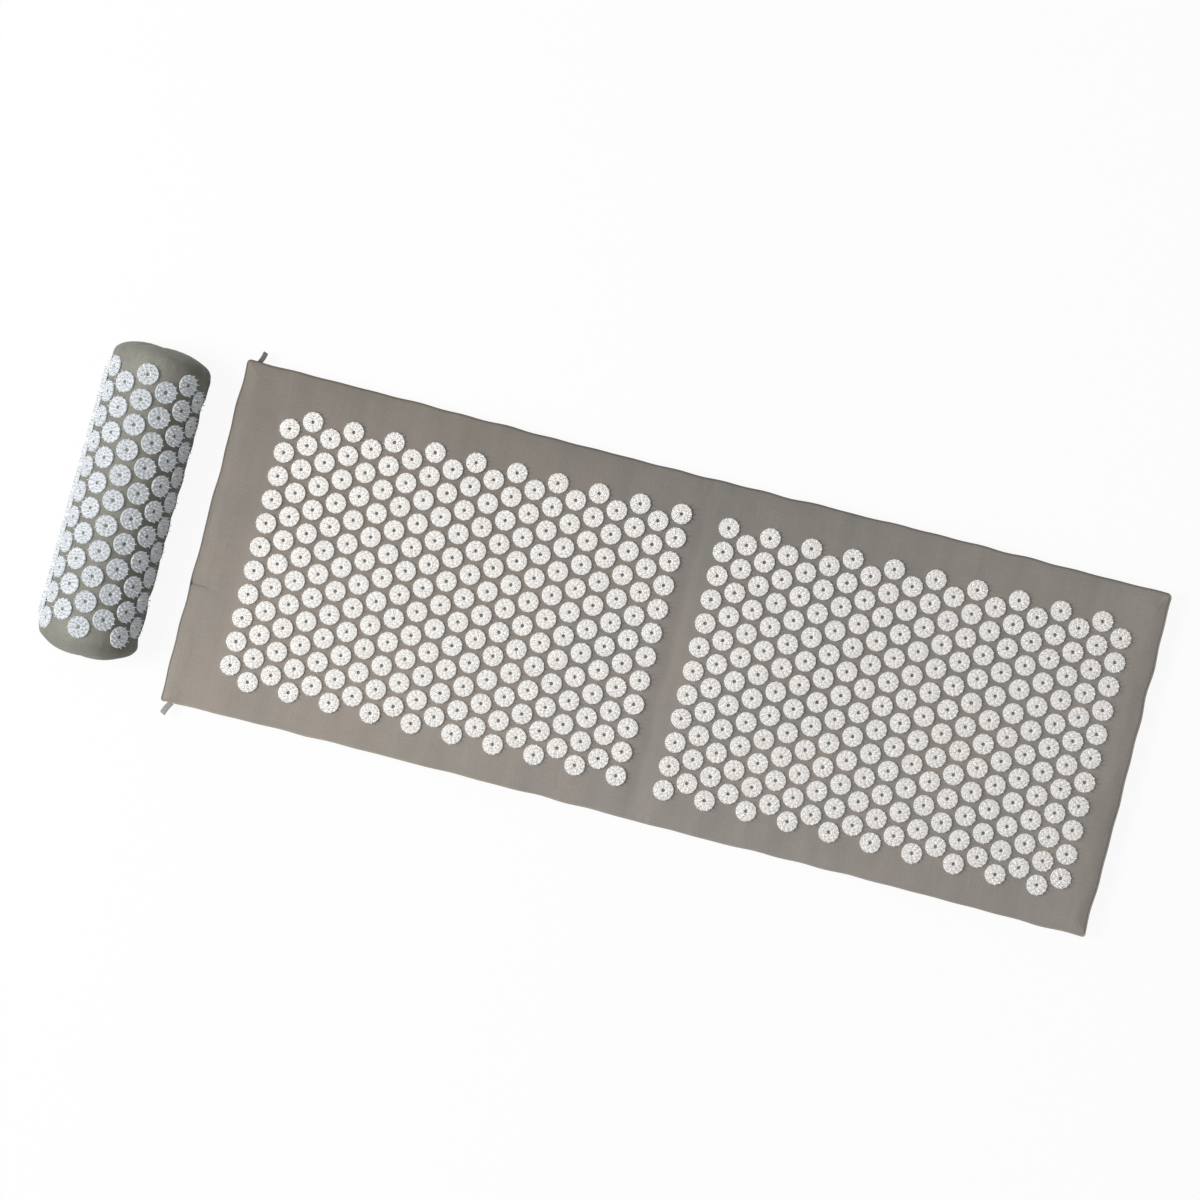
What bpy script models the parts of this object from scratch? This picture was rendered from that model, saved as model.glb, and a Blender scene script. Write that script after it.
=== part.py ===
"""Acupressure mat with two fields of spiked discs, and its separate neck pillow.

X runs along the mat, with the pillow at the -X end, Y across it and Z up, in metres. The mat lies
on Z = 0, with the origin in the middle of the left half's underside.
"""
import math

import bmesh
import bpy
from mathutils import Matrix, Vector

# Mat
LEFT_LENGTH = 0.669          # left end to the fold line
RIGHT_LENGTH = 0.6415        # fold line to the right end
MAT_WIDTH = 0.480
MAT_THICKNESS = 0.025
SEAM_HEIGHT = 0.0205         # where the top panel meets the borders
SHOULDER = 0.024             # how far in from the seam the crown levels out
DRAW_IN = 0.0022             # how far the borders pull in at half height
REAR_FLARE = 0.0075          # how far the left half's rear edge runs out by its left end
LEFT_CORNER_RADIUS = 0.008
RIGHT_CORNER_RADIUS = 0.006
LEAST_CORNER_RADIUS = 0.003
CLOTH = 0.001
SEAT_GAP = 0.0003
LOFT_GAP = 0.0006            # between the cloth and the foam under its slopes
FOAM_INSET = 0.0052

# Fold
FOLD_BAND = 0.038            # soft band between the two padded halves
CREASE_DEPTH = 0.003
WEB_HEIGHT = 0.0185
FOLD_CLEARANCE = 0.0004      # between the spike tips and the fold axis

# Discs
DISC_PITCH = 0.0337
DISC_RADIUS = 0.01425
DISC_TOP_RADIUS = 0.0108
DISC_HEIGHT = 0.0065
FIELD_GAP = 0.068            # between the two columns nearest to the fold
RIGHT_FIELD_SHIFT = -0.0032
FILM = 0.0004
COLUMN_COUNT = 20
COLUMNS_PER_STRIP = 2
LONG_COLUMN_DISCS = 12
DISC_SIDES = 6

# Corner loops of folded tape
TAPE_WIDTH = 0.0076
TAPE_THICKNESS = 0.0008
LOOP_LENGTH = 0.0165
LOOP_RADIUS = 0.0031         # outside of the fold at the tip
LOOP_HEIGHT = 0.0140         # centre of the eye above the floor
LOOP_ARC_STEPS = 6
REAR_LOOP_PLACE = 0.0146     # from the left end
REAR_LOOP_TILT = math.radians(-19)
FRONT_LOOP_PLACE = 0.0105
FRONT_LOOP_TILT = math.radians(-26)

# Pillow
PILLOW_RADIUS = 0.068
PILLOW_DISC_SIDE_GAP = 0.0018    # a disc's flat side to the edge of its facet
PILLOW_DISC_END_GAP = 0.0054     # between two discs of one line
PILLOW_DISC_TAPER = 0.0037
PILLOW_END_MARGIN = 0.017    # last disc's middle to the end seam
PILLOW_AXIS_HEIGHT = 0.030
PILLOW_FOOT_CHAMFER = 0.005
PILLOW_END_BULGE = 0.020
PILLOW_TURN = math.radians(-1.2)
PILLOW_GAP = 0.0515          # between the mat's left end and the pillow
PILLOW_Y = 0.013
LINE_STEP = math.radians(25.4)
LINE_NAMES = ("a", "b", "c", "d", "e", "f", "g")
SHORT_LINE_DISCS = 10
PILLOW_FOAM_INSET = 0.0016

# Zips
ZIP_SLOT = 0.0068            # bare height between the two cloth edges
ZIP_TAPE = 0.0006
ZIP_TAPE_COVERED = 0.003     # tape height hidden behind each cloth edge
COIL_HEIGHT = 0.0018         # one row of teeth
COIL_GAP = 0.0003
COIL_DEPTH = 0.0014
MAT_ZIP_MARGIN = 0.035       # from each end of the zip to the mat's long edge
MAT_ZIP_HEIGHT = 0.0112
PILLOW_ZIP_MARGIN = 0.018
PILLOW_ZIP_HEIGHT = 0.0165
SLIDER_LENGTH = 0.009
SLIDER_PLATE = 0.001
SLIDER_FLANGE = 0.0007
SLIDER_CLEARANCE = 0.0002
SLIDER_END_MARGIN = 0.004
BAIL_RISE = 0.0021           # slider plate to the bar's middle
BAIL_BAR = 0.0009
BAIL_SPAN = 0.0056
PULL_OUTER_RADIUS = 0.0017
PULL_INNER_RADIUS = 0.0009
PULL_WIDTH = 0.0034
PULL_LENGTH = 0.016
PULL_SIDES = 8

# Materials: base colour, roughness, metallic
CLOTH_LOOK = ((0.245, 0.232, 0.212, 1.0), 0.9, 0.0)
PILLOW_CLOTH_LOOK = ((0.262, 0.268, 0.258, 1.0), 0.9, 0.0)
FOAM_LOOK = ((0.72, 0.70, 0.60, 1.0), 0.95, 0.0)
DISC_LOOK = ((0.86, 0.86, 0.84, 1.0), 0.35, 0.0)
ZIP_LOOK = ((0.20, 0.19, 0.175, 1.0), 0.7, 0.0)
SLIDER_LOOK = ((0.42, 0.42, 0.41, 1.0), 0.35, 1.0)
TAPE_LOOK = ((0.23, 0.22, 0.205, 1.0), 0.85, 0.0)

COLUMN_PITCH = DISC_PITCH * math.sqrt(3) / 2
HALF_WIDTH = MAT_WIDTH / 2
LEFT_BODY = LEFT_LENGTH - FOLD_BAND / 2
LEFT_END = -LEFT_BODY / 2
LEFT_FOLD_SIDE = LEFT_BODY / 2
FOLD_X = LEFT_FOLD_SIDE + FOLD_BAND / 2
RIGHT_FOLD_SIDE = FOLD_X + FOLD_BAND / 2
RIGHT_END = FOLD_X + RIGHT_LENGTH
PILLOW_X = LEFT_END - PILLOW_GAP - PILLOW_RADIUS
FACET_HALF = PILLOW_RADIUS * math.sin(LINE_STEP / 2)
PILLOW_DISC_RADIUS = (FACET_HALF - PILLOW_DISC_SIDE_GAP) / math.cos(math.pi / DISC_SIDES)
PILLOW_DISC_PITCH = 2 * PILLOW_DISC_RADIUS + PILLOW_DISC_END_GAP
PILLOW_LENGTH = PILLOW_DISC_PITCH * SHORT_LINE_DISCS + 2 * PILLOW_END_MARGIN
MAT_ZIP_LENGTH = MAT_WIDTH - 2 * MAT_ZIP_MARGIN
PILLOW_ZIP_LENGTH = PILLOW_LENGTH - 2 * PILLOW_ZIP_MARGIN
BORDER_LOW = CLOTH + LOFT_GAP
BORDER_HIGH = SEAM_HEIGHT - CLOTH - LOFT_GAP
FILM_BASE = MAT_THICKNESS + SEAT_GAP
FOLD_AXIS_HEIGHT = FILM_BASE + FILM + DISC_HEIGHT + FOLD_CLEARANCE
CORNER_STEPS = 4
CROWN_SHARES = (0.0, 0.16, 0.42, 1.0)
BORDER_SHARES = (0.0, 0.25, 0.5, 0.75, 1.0)
END_BULGE_SHARES = ((0.0, 0.0), (0.09, 0.5), (0.28, 0.87), (0.6, 1.0))


def clear_scene():
    """Remove every object that the file opened with."""
    for item in list(bpy.data.objects):
        bpy.data.objects.remove(item, do_unlink=True)


def make_material(name, look):
    """One Principled material with a colour, a roughness and a metallic value."""
    colour, roughness, metallic = look
    material = bpy.data.materials.new(name)
    material.use_nodes = True
    shader = material.node_tree.nodes["Principled BSDF"]
    shader.inputs["Base Color"].default_value = colour
    shader.inputs["Roughness"].default_value = roughness
    shader.inputs["Metallic"].default_value = metallic
    material.diffuse_color = colour
    return material


def add_object(name, bm, look, place=None):
    """Turn a bmesh into a named object with its own material, set at a place."""
    mesh = bpy.data.meshes.new(name)
    bmesh.ops.recalc_face_normals(bm, faces=bm.faces)
    bm.to_mesh(mesh)
    bm.free()
    item = bpy.data.objects.new(name, mesh)
    bpy.context.scene.collection.objects.link(item)
    item.data.materials.append(make_material(name, look))
    if place is not None:
        item.matrix_world = place
    return item


def add_sheet(name, bm, look, up, thickness=CLOTH, place=None):
    """An open sheet whose face at one spot points up, thickened on its other side."""
    sample, direction = up
    bmesh.ops.recalc_face_normals(bm, faces=bm.faces)
    face = min(bm.faces, key=lambda f: (f.calc_center_median() - sample).length)
    if face.normal.dot(direction) < 0:
        bmesh.ops.reverse_faces(bm, faces=bm.faces)
    mesh = bpy.data.meshes.new(name)
    bm.to_mesh(mesh)
    bm.free()
    item = bpy.data.objects.new(name, mesh)
    bpy.context.scene.collection.objects.link(item)
    item.data.materials.append(make_material(name, look))
    solid = item.modifiers.new("thickness", "SOLIDIFY")
    solid.thickness = thickness
    solid.offset = -1
    solid.use_even_offset = True
    solid.use_quality_normals = True
    if place is not None:
        item.matrix_world = place
    return item


def add_box(bm, low, high):
    """A box between two corners."""
    centre = (Vector(low) + Vector(high)) / 2
    size = Vector(high) - Vector(low)
    matrix = Matrix.Translation(centre) @ Matrix.Diagonal((*size, 1))
    bmesh.ops.create_cube(bm, size=1, matrix=matrix)


def loft(bm, loops, closed=True, skipped=()):
    """Join equal loops of points with quads, save the skipped stretches, and return the vertices."""
    rows = [[bm.verts.new(point) for point in loop] for loop in loops]
    count = len(rows[0])
    last = count if closed else count - 1
    for lower, upper in zip(rows, rows[1:]):
        for i in range(last):
            j = (i + 1) % count
            if i not in skipped:
                bm.faces.new((lower[i], lower[j], upper[j], upper[i]))
    return rows


def capped_loft(bm, loops):
    """Closed solid through equal loops, with its first and last loops filled."""
    rows = loft(bm, loops)
    bm.faces.new(rows[0])
    bm.faces.new(rows[-1])


def prism(bm, outline, low, high):
    """An upright prism over a plan outline."""
    capped_loft(bm, [[(x, y, z) for x, y in outline] for z in (low, high)])


def corner_arc(centre_x, centre_y, radius, start):
    """Points of a quarter circle that runs on from its start angle."""
    angles = [start + math.pi / 2 * i / CORNER_STEPS for i in range(CORNER_STEPS + 1)]
    return [(centre_x + radius * math.cos(a), centre_y + radius * math.sin(a)) for a in angles]


def rear_flare(x, y):
    """Shift to the rear of a point of the left half's plan, none in front of the middle line."""
    run_share = max(LEFT_FOLD_SIDE - x, 0) / LEFT_BODY
    return REAR_FLARE * run_share * max(y, 0) / HALF_WIDTH


def half_outline(side, end, inset, radius):
    """Plan of one mat half from the front of its fold side round its end to the rear.

    The fold side stays in place, and the other three sides step in by the inset.
    """
    turn = max(radius - inset, LEAST_CORNER_RADIUS)
    edge_y = HALF_WIDTH - inset
    sign = 1 if end > side else -1
    centre_x = abs(end) - inset - turn
    front = corner_arc(centre_x, turn - edge_y, turn, -math.pi / 2)
    rear = corner_arc(centre_x, edge_y - turn, turn, 0)
    outline = [(side, -edge_y)] + [(sign * x, y) for x, y in front + rear] + [(side, edge_y)]
    return [(x, y + rear_flare(x, y)) for x, y in outline]


def crown_height(inset):
    """Height of the top panel at a distance in from its seam."""
    share = min(inset / SHOULDER, 1)
    return SEAM_HEIGHT + (MAT_THICKNESS - SEAM_HEIGHT) * math.sin(math.pi / 2 * share)


def draw_in(height):
    """How far a border stands in from the seam line at a height."""
    share = min(max(height / SEAM_HEIGHT, 0), 1)
    return DRAW_IN * math.sin(math.pi * share)


def make_top_panel(name, side, end, radius):
    """Crowned top panel of one half, level in the middle and curved down to its seam."""
    bm = bmesh.new()
    loops = []
    for share in CROWN_SHARES:
        inset = SHOULDER * share
        outline = half_outline(side, end, inset, radius)
        loops.append([(x, y, crown_height(inset)) for x, y in outline])
    rows = loft(bm, loops, closed=False)
    bm.faces.new(rows[-1])
    add_sheet(name, bm, CLOTH_LOOK, (Vector(((side + end) / 2, 0, MAT_THICKNESS)), Vector((0, 0, 1))))


def make_bottom_panel(name, side, end, radius):
    """Flat bottom panel of one half."""
    bm = bmesh.new()
    prism(bm, half_outline(side, end, 0, radius), 0, CLOTH)
    add_object(name, bm, CLOTH_LOOK)


def make_foam(name, side, end, radius):
    """Foam block that fills one half under the crown."""
    bm = bmesh.new()
    start = FOAM_INSET / SHOULDER
    base = CLOTH + SEAT_GAP
    outline = half_outline(side, end, FOAM_INSET, radius)
    loops = [[(x, y, base) for x, y in outline]]
    for share in (start, (1 + start) / 2, 1):
        inset = SHOULDER * share
        height = crown_height(inset) - CLOTH - LOFT_GAP
        loops.append([(x, y, height) for x, y in half_outline(side, end, inset, radius)])
    capped_loft(bm, loops)
    add_object(name, bm, FOAM_LOOK)


def border_loops(path, low, high):
    """Heights up a border and the plan path that it follows at each of them."""
    loops = []
    for share in BORDER_SHARES:
        height = low + (high - low) * share
        loops.append([(x, y, height) for x, y in path(draw_in(height))])
    return loops


def make_border(name, path, low, high, out):
    """Upright border strip, drawn in at half height."""
    bm = bmesh.new()
    loft(bm, border_loops(path, low, high), closed=False)
    add_sheet(name, bm, CLOTH_LOOK, out)


def make_long_border(name, ends, y_sign):
    """Front or rear border, straight between two places along X."""
    edge = y_sign * HALF_WIDTH

    def path(inset):
        return [(x, edge - y_sign * inset + rear_flare(x, edge)) for x in ends]

    middle = Vector((sum(ends) / 2, edge, SEAM_HEIGHT / 2))
    make_border(name, path, BORDER_LOW, BORDER_HIGH, (middle, Vector((0, y_sign, 0))))


def make_end_border(name, end, radius, low, high):
    """Border round one end and its two corners."""
    sign = 1 if end > 0 else -1

    def path(inset):
        return half_outline(0, end, inset, radius)[1:-1]

    middle = Vector((end, 0, (low + high) / 2))
    make_border(name, path, low, high, (middle, Vector((sign, 0, 0))))


def make_left_half():
    """Cover panels, borders and foam of the left half."""
    make_top_panel("left_top_cover", LEFT_FOLD_SIDE, LEFT_END, LEFT_CORNER_RADIUS)
    make_bottom_panel("left_bottom_cover", RIGHT_FOLD_SIDE - SEAT_GAP, LEFT_END, LEFT_CORNER_RADIUS)
    make_foam("left_foam_core", LEFT_FOLD_SIDE, LEFT_END, LEFT_CORNER_RADIUS)
    ends = (LEFT_END + LEFT_CORNER_RADIUS + SEAT_GAP, RIGHT_FOLD_SIDE - SEAT_GAP)
    make_long_border("left_front_border", ends, -1)
    make_long_border("left_rear_border", ends, 1)
    slot_low = MAT_ZIP_HEIGHT - ZIP_SLOT / 2
    slot_high = MAT_ZIP_HEIGHT + ZIP_SLOT / 2
    make_end_border("left_end_border_lower", LEFT_END, LEFT_CORNER_RADIUS, BORDER_LOW, slot_low)
    make_end_border("left_end_border_upper", LEFT_END, LEFT_CORNER_RADIUS, slot_high, BORDER_HIGH)


def make_right_half():
    """Cover panels, borders and foam of the right half."""
    make_top_panel("right_top_cover", RIGHT_FOLD_SIDE, RIGHT_END, RIGHT_CORNER_RADIUS)
    make_bottom_panel("right_bottom_cover", RIGHT_FOLD_SIDE, RIGHT_END, RIGHT_CORNER_RADIUS)
    make_foam("right_foam_core", RIGHT_FOLD_SIDE, RIGHT_END, RIGHT_CORNER_RADIUS)
    ends = (RIGHT_FOLD_SIDE, RIGHT_END - RIGHT_CORNER_RADIUS - SEAT_GAP)
    make_long_border("right_front_border", ends, -1)
    make_long_border("right_rear_border", ends, 1)
    make_end_border("right_end_border", RIGHT_END, RIGHT_CORNER_RADIUS, BORDER_LOW, BORDER_HIGH)


def band_section(depth):
    """Y and Z points across the fold band's top, lowered by a crease depth."""
    points = []
    for y_sign in (-1, 1):
        shares = CROWN_SHARES if y_sign < 0 else CROWN_SHARES[::-1]
        for share in shares:
            inset = SHOULDER * share
            points.append((y_sign * (HALF_WIDTH - inset), crown_height(inset) - depth * share))
    return points


def make_fold_band():
    """Top cloth with a soft valley along the fold line, and the foam web under it."""
    low_x = LEFT_FOLD_SIDE + SEAT_GAP
    high_x = RIGHT_FOLD_SIDE - SEAT_GAP
    steps = 6
    bm = bmesh.new()
    loops = []
    for i in range(steps + 1):
        share = i / steps
        depth = CREASE_DEPTH * math.sin(math.pi * share) ** 2
        x = low_x + (high_x - low_x) * share
        loops.append([(x, y, z) for y, z in band_section(depth)])
    loft(bm, loops, closed=False)
    spot = Vector((FOLD_X, 0, MAT_THICKNESS))
    add_sheet("fold_top_cover", bm, CLOTH_LOOK, (spot, Vector((0, 0, 1))))
    bm = bmesh.new()
    edge = HALF_WIDTH - FOAM_INSET
    base = CLOTH + SEAT_GAP
    add_box(bm, (low_x, -edge, base), (high_x, edge, WEB_HEIGHT))
    add_object("fold_foam_web", bm, FOAM_LOOK)


def disc_loop(centre_x, centre_y, radius, height):
    """Corners of one disc at a height."""
    points = []
    for i in range(DISC_SIDES):
        angle = 2 * math.pi * (i + 0.5) / DISC_SIDES
        points.append((centre_x + radius * math.cos(angle), centre_y + radius * math.sin(angle), height))
    return points


def make_strip(name, centres, radii, low, high, place):
    """Discs on one thin bonding film, with the film's underside at the local Z = 0."""
    bm = bmesh.new()
    corners = ((low[0], low[1]), (high[0], low[1]), (high[0], high[1]), (low[0], high[1]))
    rim = [bm.verts.new((x, y, FILM)) for x, y in corners]
    edges = [bm.edges.new((rim[i], rim[i - 1])) for i in range(len(rim))]
    feet = []
    for x, y in centres:
        foot = [bm.verts.new(point) for point in disc_loop(x, y, radii[0], FILM)]
        edges += [bm.edges.new((foot[i], foot[i - 1])) for i in range(DISC_SIDES)]
        feet.append((foot, x, y))
    bmesh.ops.triangle_fill(bm, use_beauty=True, edges=edges, normal=(0, 0, 1))
    for foot, x, y in feet:
        tip_points = disc_loop(x, y, radii[1], FILM + DISC_HEIGHT)
        tip = [bm.verts.new(point) for point in tip_points]
        for i in range(DISC_SIDES):
            bm.faces.new((foot[i - 1], foot[i], tip[i], tip[i - 1]))
        bm.faces.new(tip)
    base = [bm.verts.new((x, y, 0)) for x, y in corners]
    for i in range(len(rim)):
        bm.faces.new((base[i - 1], base[i], rim[i], rim[i - 1]))
    bm.faces.new(base)
    add_object(name, bm, DISC_LOOK, place)


def make_field(prefix, first_x, direction, shift_y):
    """The strips of one field, numbered outwards from the fold."""
    radii = (DISC_RADIUS, DISC_TOP_RADIUS)
    for strip in range(COLUMN_COUNT // COLUMNS_PER_STRIP):
        centres = []
        for i in range(COLUMNS_PER_STRIP):
            column = strip * COLUMNS_PER_STRIP + i
            count = LONG_COLUMN_DISCS - column % 2
            x = direction * COLUMN_PITCH * (i - (COLUMNS_PER_STRIP - 1) / 2)
            for row in range(count):
                centres.append((x, DISC_PITCH * (row - (count - 1) / 2)))
        middle = strip * COLUMNS_PER_STRIP + (COLUMNS_PER_STRIP - 1) / 2
        half_x = (COLUMNS_PER_STRIP * COLUMN_PITCH - SEAT_GAP) / 2
        half_y = DISC_PITCH * LONG_COLUMN_DISCS / 2
        place = Matrix.Translation((first_x + direction * COLUMN_PITCH * middle, shift_y, FILM_BASE))
        name = f"{prefix}_disc_strip_{strip + 1:02d}"
        make_strip(name, centres, radii, (-half_x, -half_y), (half_x, half_y), place)


def make_fields():
    """Both disc fields, mirrored about the fold line."""
    make_field("left", FOLD_X - FIELD_GAP / 2, -1, 0)
    make_field("right", FOLD_X + FIELD_GAP / 2, 1, RIGHT_FIELD_SHIFT)


def loop_seat(place_x, turn, y_sign):
    """Distance from the middle line at which a loop's root just clears the border and its corner."""
    pulled_in = min(draw_in(LOOP_HEIGHT + LOOP_RADIUS), draw_in(LOOP_HEIGHT - LOOP_RADIUS))
    seats = []
    for i in range(LOOP_ARC_STEPS + 1):
        along = TAPE_WIDTH * (i / LOOP_ARC_STEPS - 0.5)
        into_corner = max(LEFT_CORNER_RADIUS - place_x - along * math.cos(turn), 0)
        drop = LEFT_CORNER_RADIUS - math.sqrt(LEFT_CORNER_RADIUS ** 2 - into_corner ** 2)
        seats.append(HALF_WIDTH - pulled_in - drop - y_sign * along * math.sin(turn))
    return max(seats) + SEAT_GAP


def make_corner_loop(name, place_x, y_sign, tilt):
    """Tape folded back on itself, with an open eye and both ends at the seam."""
    bm = bmesh.new()
    inner = LOOP_RADIUS - TAPE_THICKNESS
    straight = LOOP_LENGTH - LOOP_RADIUS
    outline = []
    for radius, order in ((LOOP_RADIUS, 1), (inner, -1)):
        side = [(0, -radius)]
        for i in range(LOOP_ARC_STEPS + 1):
            angle = math.pi * i / LOOP_ARC_STEPS - math.pi / 2
            side.append((straight + radius * math.cos(angle), radius * math.sin(angle)))
        side.append((0, radius))
        outline += side[::order]
    half = TAPE_WIDTH / 2
    capped_loft(bm, [[(x, y, z) for y, z in outline] for x in (-half, half)])
    turn = tilt if y_sign > 0 else math.pi + tilt
    x = LEFT_END + place_x
    y = y_sign * loop_seat(place_x, turn, y_sign)
    spot = (x, y + rear_flare(x, y), LOOP_HEIGHT)
    place = Matrix.Translation(spot) @ Matrix.Rotation(turn, 4, "Z")
    add_object(name, bm, TAPE_LOOK, place)


def pillow_section():
    """X and Z corners of the pillow cover's outside: the -X foot, and the rest from there over the top."""
    first = -LINE_STEP * len(LINE_NAMES) / 2
    over = []
    for i in range(len(LINE_NAMES) + 1):
        angle = first + LINE_STEP * i
        over.append((PILLOW_RADIUS * math.sin(angle), PILLOW_AXIS_HEIGHT + PILLOW_RADIUS * math.cos(angle)))
    left_x = over[0][0]
    foot = PILLOW_FOOT_CHAMFER
    hem = CLOTH + SEAT_GAP
    over += [(PILLOW_RADIUS, PILLOW_AXIS_HEIGHT), (PILLOW_RADIUS, hem + foot), (PILLOW_RADIUS - foot, hem)]
    return [(left_x + foot, hem), (left_x, hem + foot)], over


def scaled_section(points, inset):
    """Pillow section drawn in towards its middle by about an inset."""
    share = 1 - inset / PILLOW_RADIUS
    middle = PILLOW_AXIS_HEIGHT
    return [(x * share, middle + (z - middle) * share) for x, z in points]


def make_pillow_wrap(place):
    """Curved cover in two sheets, with the zip's slot between them on the -X side."""
    left, over = pillow_section()
    left_x = left[-1][0]
    slot_low = PILLOW_ZIP_HEIGHT - ZIP_SLOT / 2
    slot_high = PILLOW_ZIP_HEIGHT + ZIP_SLOT / 2
    top = Vector((0, 0, PILLOW_AXIS_HEIGHT + PILLOW_RADIUS))
    side = Vector((left_x, 0, slot_low))
    half = PILLOW_LENGTH / 2
    sheets = (("pillow_cover", [(left_x, slot_high)] + over, (top, Vector((0, 0, 1)))),
              ("pillow_zip_flap", left + [(left_x, slot_low)], (side, Vector((-1, 0, 0)))))
    for name, section, up in sheets:
        bm = bmesh.new()
        loft(bm, [[(x, y, z) for x, z in section] for y in (-half, half)], closed=False)
        add_sheet(name, bm, PILLOW_CLOTH_LOOK, up, place=place)


def make_pillow_foam(place):
    """Foam that fills the pillow, clear of the zip's tapes."""
    left, over = pillow_section()
    wall = left[-1][0] + CLOTH + SEAT_GAP + ZIP_TAPE + LOFT_GAP
    hem = CLOTH + SEAT_GAP
    foam = []
    for x, z in scaled_section(left + over, PILLOW_FOAM_INSET):
        if z < PILLOW_FOOT_CHAMFER:
            foam.append((x - math.copysign(PILLOW_FOAM_INSET, x), hem))
        else:
            foam.append((max(x, wall), z))
    half = PILLOW_LENGTH / 2 - SEAT_GAP
    bm = bmesh.new()
    capped_loft(bm, [[(x, y, z) for x, z in foam] for y in (-half, half)])
    add_object("pillow_foam_core", bm, FOAM_LOOK, place)


def make_pillow_ends(place):
    """Flat base panel and the two end panels, which bulge outwards."""
    left, over = pillow_section()
    section = left + over
    half = PILLOW_LENGTH / 2
    bm = bmesh.new()
    add_box(bm, (section[0][0], -half, 0), (section[-1][0], half, CLOTH))
    add_object("pillow_base", bm, PILLOW_CLOTH_LOOK, place)
    for name, y_sign in (("pillow_front_end", -1), ("pillow_rear_end", 1)):
        bm = bmesh.new()
        loops = []
        for drawn_share, rise_share in END_BULGE_SHARES:
            y = y_sign * (half + SEAT_GAP + CLOTH + PILLOW_END_BULGE * rise_share)
            loops.append([(x, y, z) for x, z in scaled_section(section, PILLOW_RADIUS * drawn_share)])
        rows = loft(bm, loops)
        bm.faces.new(rows[-1])
        spot = Vector((0, y_sign * PILLOW_LENGTH, PILLOW_AXIS_HEIGHT))
        add_sheet(name, bm, PILLOW_CLOTH_LOOK, (spot, Vector((0, y_sign, 0))), place=place)


def make_pillow_lines(place):
    """Lines of discs, each seated on its own facet of the cover, every second one a disc longer."""
    facet = PILLOW_RADIUS * math.cos(LINE_STEP / 2)
    half_x = FACET_HALF - SEAT_GAP
    half_y = PILLOW_LENGTH / 2 - PILLOW_END_MARGIN + PILLOW_DISC_RADIUS + SEAT_GAP
    radii = (PILLOW_DISC_RADIUS, PILLOW_DISC_RADIUS - PILLOW_DISC_TAPER)
    for i, letter in enumerate(LINE_NAMES):
        count = SHORT_LINE_DISCS + i % 2
        angle = LINE_STEP * (i - (len(LINE_NAMES) - 1) / 2)
        centres = [(0, PILLOW_DISC_PITCH * (row - (count - 1) / 2)) for row in range(count)]
        up = Matrix.Translation((0, 0, PILLOW_AXIS_HEIGHT)) @ Matrix.Rotation(angle, 4, "Y")
        seat = place @ up @ Matrix.Translation((0, 0, facet + SEAT_GAP))
        make_strip(f"pillow_disc_line_{letter}", centres, radii, (-half_x, -half_y), (half_x, half_y), seat)


def make_zip(prefix, wall_x, height, length, place):
    """Two zip halves behind the slot of a wall that faces -X, with their slider and pull."""
    tape_x = wall_x + CLOTH + SEAT_GAP
    coil_x = tape_x - COIL_DEPTH
    half = length / 2
    for word, z_sign in (("lower", -1), ("upper", 1)):
        bm = bmesh.new()
        inner = COIL_GAP / 2
        middle = inner + COIL_HEIGHT
        outer = ZIP_SLOT / 2 + ZIP_TAPE_COVERED
        section = [(tape_x, outer), (tape_x, middle), (coil_x, middle), (coil_x, inner)]
        section += [(tape_x + ZIP_TAPE, inner), (tape_x + ZIP_TAPE, outer)]
        capped_loft(bm, [[(x, y, height + z_sign * z) for x, z in section] for y in (-half, half)])
        add_object(f"{prefix}_zip_{word}_half", bm, ZIP_LOOK, place)
    make_slider(prefix, coil_x, tape_x, height, half, place)


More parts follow.
